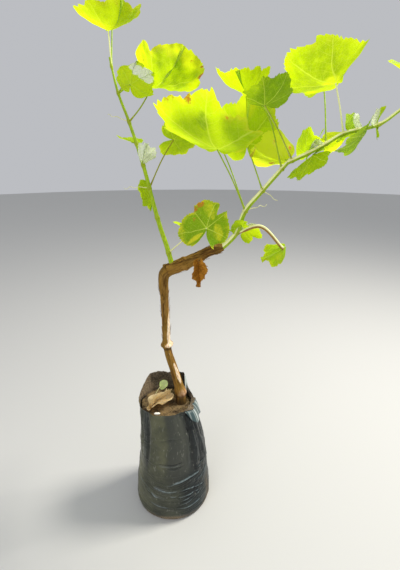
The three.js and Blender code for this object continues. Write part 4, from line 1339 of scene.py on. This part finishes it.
# Limb and node, stalk as length, heading, rise and arch, blade as length, heading, rise and roll,
# and the bends. Angles are in degrees
LEAVES = {
    "leaf_left_1": ("left", 0, (96, -24, 34, 0.06), (63, -16, 78, -55), (3, 13, -0.05, 35)),
    "leaf_left_2": ("left", 2, (105, 47, 53, 0.05), (50, 25, -5, -73), (25, 25, 0.1, 18)),
    "leaf_left_3": ("left", 3, (18, -87, 24, 0), (37, -70, 36, -14), (58, 25, 0.23, -39)),
    "leaf_left_4": ("left", 4, (14, 135, 10, 0), (30, 150, 15, 0), PLAIN),
    "leaf_left_5": ("left", 5, (68, -20, 47, -0.05), (99, -53, 0, -12), (60, 12, 0.06, -60)),
    "leaf_left_6": ("left", 6, (54, -57, 6, 0.1), (46, -61, 63, -33), (24, -2, 0.28, -57)),
    "leaf_left_7": ("left", 7, (50, 180, 89, 0), (72, -51, -11, 7), (15, 11, 0.29, -42)),
    "leaf_left_8": ("left", 1, (63, 115, 54, 0.05), (45, -8, -72, 172), (38, 15, 0.25, -12)),
    "leaf_left_9": ("left", 6, (101, 29, 29, 0.05), (60, 70, 5, 0), PLAIN),
    "leaf_left_tip": ("left", 7, (88, 95, 56, 0), (34, 84, 30, 0), PLAIN),
    "leaf_right_1": ("right", 0, (88, -16, -15, 0.25), (50, -137, -16, 111), (31, 64, 0.16, -55)),
    "leaf_right_2": ("right", 0, (12, 11, 34, 0), (43, -18, 44, -40), (-5, -6, -0.05, 60)),
    "leaf_right_3": ("right", 1, (120, -146, 58, 0.04), (114, -116, 17, -20), (-6, 15, 0.01, -57)),
    "leaf_right_4": ("right", 2, (83, 146, 66, 0), (85, -100, 70, 0), (30, 30, 0.2, -10)),
    "leaf_right_5": ("end", 0, (104, -143, 47, 0.03), (54, -45, 20, -8), (13, 11, 0, -60)),
    "leaf_right_6": ("end", 0, (16, 121, 2, 0), (65, -149, -5, 42), (15, 56, 0.29, -35)),
    "leaf_right_7": ("right", 3, (125, -176, 60, 0.24), (60, -113, 11, 0), (13, 23, 0.3, -1)),
    "leaf_right_8": ("right", 0, (98, 133, -1, 0.05), (60, 125, -11, 1), PLAIN),
    "leaf_right_9": ("right", 1, (160, 127, 56, 0.05), (70, 119, 13, 0), PLAIN),
    "leaf_end_1": ("end", 1, (21, 78, -7, 0), (45, -87, 36, -1), (59, 41, 0.3, 50)),
    "leaf_end_2": ("end", 2, (27, 131, -38, 0), (55, 160, -35, 146), (-3, 32, 0.05, -14)),
    "leaf_end_3": ("end", 3, (73, -146, 64, 0.03), (86, -163, -4, 19), (14, 23, -0.02, -60)),
    "leaf_end_4": ("end", 3, (15, 66, 1, 0), (46, -150, -17, 104), (42, 60, 0.28, -41)),
    "leaf_end_5": ("end", 4, (14, 15, -15, 0), (52, -156, -53, 62), (10, -25, 0.18, -41)),
    "leaf_end_6": ("end", 4, (8, 124, -5, 0), (33, 36, 9, -75), (20, 35, 0.16, 13)),
    "leaf_end_7": ("end", 5, (12, 75, -27, 0), (35, 98, 64, -146), (-6, 29, -0.03, 58)),
    "leaf_end_8": ("end", 2, (134, 90, 59, 0.12), (66, 104, 6, 0), PLAIN),
    "leaf_end_9": ("end", 6, (55, -80, 45, 0.05), (66, -109, -10, 0), PLAIN),
    "leaf_end_10": ("end", 7, (80, 54, 28, 0.05), (58, 60, -5, 0), PLAIN),
    "leaf_end_11": ("end", 8, (36, 0, 25, 0), (46, 5, -20, 0), PLAIN),
    "leaf_end_tip": ("end", 8, (24, 80, 75, 0), (26, 90, 60, 0), PLAIN),
    "dead_leaf": ("arm", 0, (21, -75, -35, 0), (41, -95, -82, 0), (68, 52, 0.1, -30)),
}


def sides(*halves):
    """The halves of an outline, each given as degrees and percent in turn from tip to stalk."""
    ends = [180, 5]
    return [[(d, p / 100) for d, p in zip((h + ends)[::2], (h + ends)[1::2])] for h in halves]


def streak(foot, tip, size, strength):
    """Round places in a row for a long blotch of the flat leaf, widest in its middle."""
    foot, tip = np.array(foot), np.array(tip)
    return [
        (*(foot * (1 - share) + tip * share), size * (0.5 + np.sin(np.pi * share)), strength)
        for share in np.linspace(0, 1, 9)
    ]


# What sets a leaf apart. "slot", "finish" and "stalk" are names, and "deep",
# "glare", "gold" and "mark" are numbers or places (x, y, size, strength) of the flat leaf, the
# first of them deep green that is partly painted shade and the second a painted glare. The blade's
# rule reads the outline and the other amounts
OWN = {
    "leaf_left_1": {
        "slot": "deep_green_leaf", "stalk": "pale", "deep": 1.15, "age": 0.4,
        "mark": streak((0.36, 0.72), (0.42, 0.68), 0.14, 0.78)
        + streak((0.5, 0.55), (0.53, 0.5), 0.13, 0.74)
        + [(0.43, 0.22, 0.16, 0.62)],
        "gold": streak((-0.12, 0.3), (0.26, 0.9), 0.2, 0.6)
        + streak((-0.3, 0.1), (-0.56, -0.3), 0.18, 0.64)
        + streak((0.1, -0.16), (0.5, -0.5), 0.08, 0.8)
        + [(0.7, -0.2, 0.22, 0.5)],
        "outline": sides(
            [0, 87, 9, 88, 21, 93, 32, 88, 41, 84, 48, 67, 60, 74, 71, 77, 92, 79, 108, 87, 123, 82,
             134, 77, 148, 66, 162, 31],
            [0, 87, 4, 90, 10, 78, 18, 56, 30, 45, 36, 62, 42, 75, 55, 70, 69, 72, 91, 79, 110, 82,
             131, 74, 155, 64, 165, 39],
        ),
    },
    "leaf_left_2": {"stalk": "reddish", "age": 0.3},
    "leaf_left_3": {"glare": [(-0.1, 0.35, 1.2)]},
    "leaf_left_5": {
        "slot": "yellow_leaf", "stalk": "olive", "age": 0.75, "teeth": 0.5, "quilt": 0.03,
        "gold": [(0.5, -0.2, 0.55, 0.8), (0.3, 0.95, 0.4), (-0.3, 0.9, 0.35), (-0.75, 0.4, 0.35)],
        "mark": [(-0.69, 0.57, 0.14)],
        "deep": [(0.25, 0.58, 0.35, 0.7), (-0.15, 0.7, 0.35, 0.6), (-0.3, 0.35, 0.45, 0.7)],
        "outline": sides(
            [0, 98, 10, 98, 20, 88, 36, 76, 43, 66, 47, 58, 55, 72, 66, 70, 104, 64, 146, 62,
             165, 35],
            [0, 98, 16, 98, 30, 99, 41, 99, 50, 94, 55, 83, 65, 88, 73, 80, 95, 74, 103, 50,
             110, 30, 150, 30],
        ),
    },
    "leaf_left_6": {
        "age": 0.3, "gold": 0.6,
        "glare": [
            (0.1, 0.66, 0.24), (-0.12, 0.52, 0.26), (-0.36, 0.44, 0.26), (-0.56, 0.34, 0.22),
            (-0.46, 0.6, 0.22),
        ],
    },
    "leaf_left_7": {
        "stalk": "pale", "age": 0.45, "gold": [(0.1, -0.3, 0.9)], "lobing": 0.8, "teeth": 0.4
    },
    "leaf_left_8": {"deep": 0.45},
    "leaf_right_1": {
        "stalk": "pale", "age": 0.5, "gold": [(0, 0.9, 0.5, 0.7), (0.3, 0.2, 0.3, 0.7)]
    },
    "leaf_right_2": {
        "glare": [(0.05, -0.15, 0.3), (0, 0.5, 0.3)],
        "outline": sides(
            [0, 70, 4, 45, 8, 32, 25, 50, 45, 80, 58, 95, 65, 100, 75, 85, 85, 72, 116, 64, 135, 50,
             151, 42, 165, 30],
            [0, 70, 3, 71, 30, 75, 55, 80, 68, 105, 76, 115, 84, 105, 90, 70, 97, 86, 117, 94,
             130, 69, 145, 36, 165, 20],
        ),
    },
    "leaf_right_3": {
        "age": 0.45,
        "gold": [(0.65, 0.65, 0.4, 0.62), (0.3, 0.85, 0.3, 0.62), (0.1, -0.25, 0.25, 0.9)],
        "mark": [(0.55, 0.76, 0.15, 0.72), (0.27, 0.82, 0.15, 0.78), (0.2, -0.3, 0.12, 0.72)],
        "deep": streak((0.04, 0.7), (0.08, 0.44), 0.09, 0.95),
        "outline": sides(
            [0, 99, 13, 91, 19, 87, 27, 88, 34, 95, 41, 96, 50, 100, 56, 88, 61, 77, 75, 80, 88, 79,
             96, 64, 104, 41, 112, 25, 150, 20],
            [0, 99, 5, 100, 12, 88, 18, 82, 24, 80, 30, 87, 36, 89, 45, 74, 52, 82, 56, 90, 58, 76,
             61, 63, 75, 45, 90, 28, 150, 25],
        ),
    },
    "leaf_right_4": {"age": 0.3, "gold": [(0.1, 0.8, 0.5)]},
    "leaf_right_5": {
        "slot": "deep_green_leaf", "stalk": "sunlit", "deep": 0.95, "age": 0, "basal": 0.7
    },
    "leaf_right_6": {
        "slot": "yellow_leaf", "finish": "yellowing_leaf", "age": 0.5, "gold": 0.7,
        "mark": streak((-0.28, 0.88), (0.02, 0.92), 0.1, 0.72)
        + [(0.22, 0.26, 0.16, 0.74), (-0.27, -0.32, 0.15, 0.76), (-0.46, 0.27, 0.26, 0.62)],
        "outline": sides(
            [0, 95, 14, 88, 30, 92, 50, 84, 84, 72, 110, 45, 158, 19],
            [0, 95, 17, 98, 30, 86, 44, 92, 57, 87, 75, 76, 90, 78, 123, 66, 144, 60, 158, 66,
             165, 36],
        ),
    },
    "leaf_right_7": {
        "age": 0.3,
        "outline": sides(
            [0, 90, 7, 91, 20, 84, 34, 80, 42, 92, 48, 100, 56, 90, 63, 80, 74, 55, 79, 25,
             110, 15],
            [0, 90, 20, 88, 28, 76, 39, 84, 52, 70, 66, 84, 80, 60, 105, 30, 150, 20],
        ),
    },
    "leaf_end_1": {"glare": [(-0.1, 0.72, 0.42)], "deep": [(0.6, 0.2, 0.7)]},
    "leaf_end_2": {"deep": 0.7, "age": 0.1},
    "leaf_end_3": {
        "stalk": "pale", "age": 0.2, "gold": [(0.8, -0.05, 0.35), (0.02, 0.08, 0.22)],
        "deep": [(-0.3, 0.45, 0.8, 0.9), (0.3, 0.4, 0.6, 0.85)],
        "outline": sides(
            [0, 100, 12, 101, 24, 94, 33, 83, 45, 90, 60, 86, 72, 74, 85, 84, 98, 102, 106, 105,
             112, 80, 120, 57, 135, 20],
            [0, 100, 4, 101, 17, 93, 26, 88, 34, 97, 48, 88, 60, 78, 71, 77, 85, 72, 98, 74,
             106, 78, 108, 56, 112, 30, 130, 15],
        ),
    },
    "leaf_end_4": {"slot": "yellow_leaf", "finish": "yellowing_leaf", "age": 0.6, "gold": 1.3},
    "leaf_end_5": {"deep": 0.95, "age": 0, "basal": 0.55},
    "leaf_end_6": {"glare": [(0.43, 0.6, 0.55)], "deep": 0.4},
    "leaf_end_7": {"glare": [(0.5, 0.4, 0.6)], "deep": 0.4, "basal": 0.6},
    "leaf_end_tip": {"gold": 0.4},
    "dead_leaf": {
        "slot": "dead_leaf", "finish": "dead_brown_leaf", "lobing": 0.6, "crumple": 0.1,
        "teeth": 1.6,
    },
}
print("leaves:", len(LEAVES))

# %% Grow the leaves
# How red, lit and dry
STALK_LOOKS = {
    "green": (0.05, 0.25, 0), "pale": (0, 0.9, 0), "sunlit": (0.3, 0.33, 0),
    "olive": (0.35, 0.15, 0), "reddish": (0.75, 0.1, 0), "brown": (0.4, 0, 0.85),
}
# A dried margin has curled round this leaf's stalk, pale above and brown below
CURLED_LEAF, CURL_ARCH, CURL_DROP = "leaf_right_1", 0.3, np.array([0, 0, 2.6])


def stalk_skin(foot, tip, arch, look="green", foot_radius=1.6, tip_radius=1.15):
    """A stalk that arches up by a share of its length, swollen at both ends."""
    red, lit, dry = STALK_LOOKS[look]
    crown = (foot + tip) / 2 + np.array([0, 0, arch * np.linalg.norm(tip - foot)])
    stem = Stem([foot, crown, tip])
    profile = [
        (0, foot_radius * 1.25), (0.08, foot_radius), (0.2, tip_radius), (0.93, tip_radius * 0.92),
        (1, tip_radius * 1.15),
    ]
    values = {
        "red": lambda share, turn: red + 0.3 * np.exp(-share * stem.length / 9),
        "lit": lambda share, turn: lit * (0.7 + 0.3 * np.cos(TAU * turn)),
        "dry": lambda share, turn: dry + 0 * share,
    }
    return stem.tube(30, 12, lambda share, turn: along(profile, share), values)


leaf_pieces = []
for order, (name, (limb, node, stalk, blade, bend)) in enumerate(LEAVES.items()):
    own = OWN.get(name, {})
    finish = leaf_finishes[own.get("finish", "thin_green_leaf")]
    slot = own.get("slot", "green_leaf")
    stem, nodes = LIMBS[limb]
    length, degrees, rise, arch = stalk
    foot = stem.at(nodes[node])
    base = foot + heading(degrees, rise) * length
    grown = blade_skin(blade, bend, own, base, order * 1.7)
    holder = stalk_skin(foot, base, arch, own.get("stalk", "green"))
    if name == CURLED_LEAF:
        under = stalk_skin(foot - CURL_DROP, base - CURL_DROP, CURL_ARCH, "brown", 1.2, 2.4)
        holder = join([holder, stalk_skin(foot, base, CURL_ARCH, "pale", 1.4, 2.0), under])
    leaf_pieces.append(add_piece(name + "_blade", grown, finish, slot, name))
    leaf_pieces.append(add_piece(name + "_stalk", holder, cane_finish, slot, name))
print("leaf pieces:", len(leaf_pieces), "faces:", faces_of(*leaf_pieces))

# %% [markdown]
# ## On the soil
# A dry tan leaf has curled up on the soil, and beside the trunk a small young leaf stands on a thin
# pale stem, its blade painted very pale as if in full sun. Both use the leaf rule, the dry one with
# deep crumples. It is pushed up wherever it would dip into the soil.

# %% The fallen leaf and the low leaf
FALLEN_BASE, FALLEN_BLADE, FALLEN_BEND = (-45, -14, 256.5), (57, 43, 8, 43), (63, 60, 0.3, 32)
FALLEN_OWN = {
    "ripple": 0.08, "lobing": 0.7, "basal": 0.4, "crumple": 0.09, "age": 0.3, "gold": 0.6,
    "mark": [(-0.1, 0.25, 0.3, 0.66), (0.2, 0.75, 0.5, 0.62)],
}
CLEAR_OF_SOIL = 0.6
LOW_FOOT, LOW_BASE = np.array([-42, 31, 248.0]), np.array([-25, 24, 282.0])
LOW_BLADE, LOW_BEND = (24, -30, 44, 50), (8, 26, 0.03, 30)
# Both halves of the low leaf are alike
LOW_HALF = sides([0, 95, 16, 95, 34, 76, 60, 45, 90, 25, 130, 10])
LOW_OWN = {"teeth": 0, "age": 0, "outline": 2 * LOW_HALF}

fallen = blade_skin(FALLEN_BLADE, FALLEN_BEND, FALLEN_OWN, np.array(FALLEN_BASE), 3.3)
soil_top = soil_height(fallen[0][:, 0], fallen[0][:, 1]) + CLEAR_OF_SOIL
fallen[0][:, 2] = np.maximum(fallen[0][:, 2], soil_top)
fallen_leaf = add_piece(
    "fallen_dry_leaf", fallen, leaf_finishes["dry_tan_leaf"], "dried_leaf", "fallen_leaf"
)
low_blade = blade_skin(LOW_BLADE, LOW_BEND, LOW_OWN, LOW_BASE, 5.1)
low_stem = stalk_skin(LOW_FOOT, LOW_BASE, 0.05, "pale", 1.5, 1.0)
young_finish = leaf_finishes["young_pale_and_sunlit_leaf"]
low_leaf = [
    add_piece("low_leaf_blade", low_blade, young_finish, "green_leaf", "low_leaf"),
    add_piece("low_leaf_stem", low_stem, cane_finish, "green_leaf", "low_leaf"),
]
print("fallen leaf and low leaf faces:", faces_of(fallen_leaf, *low_leaf))
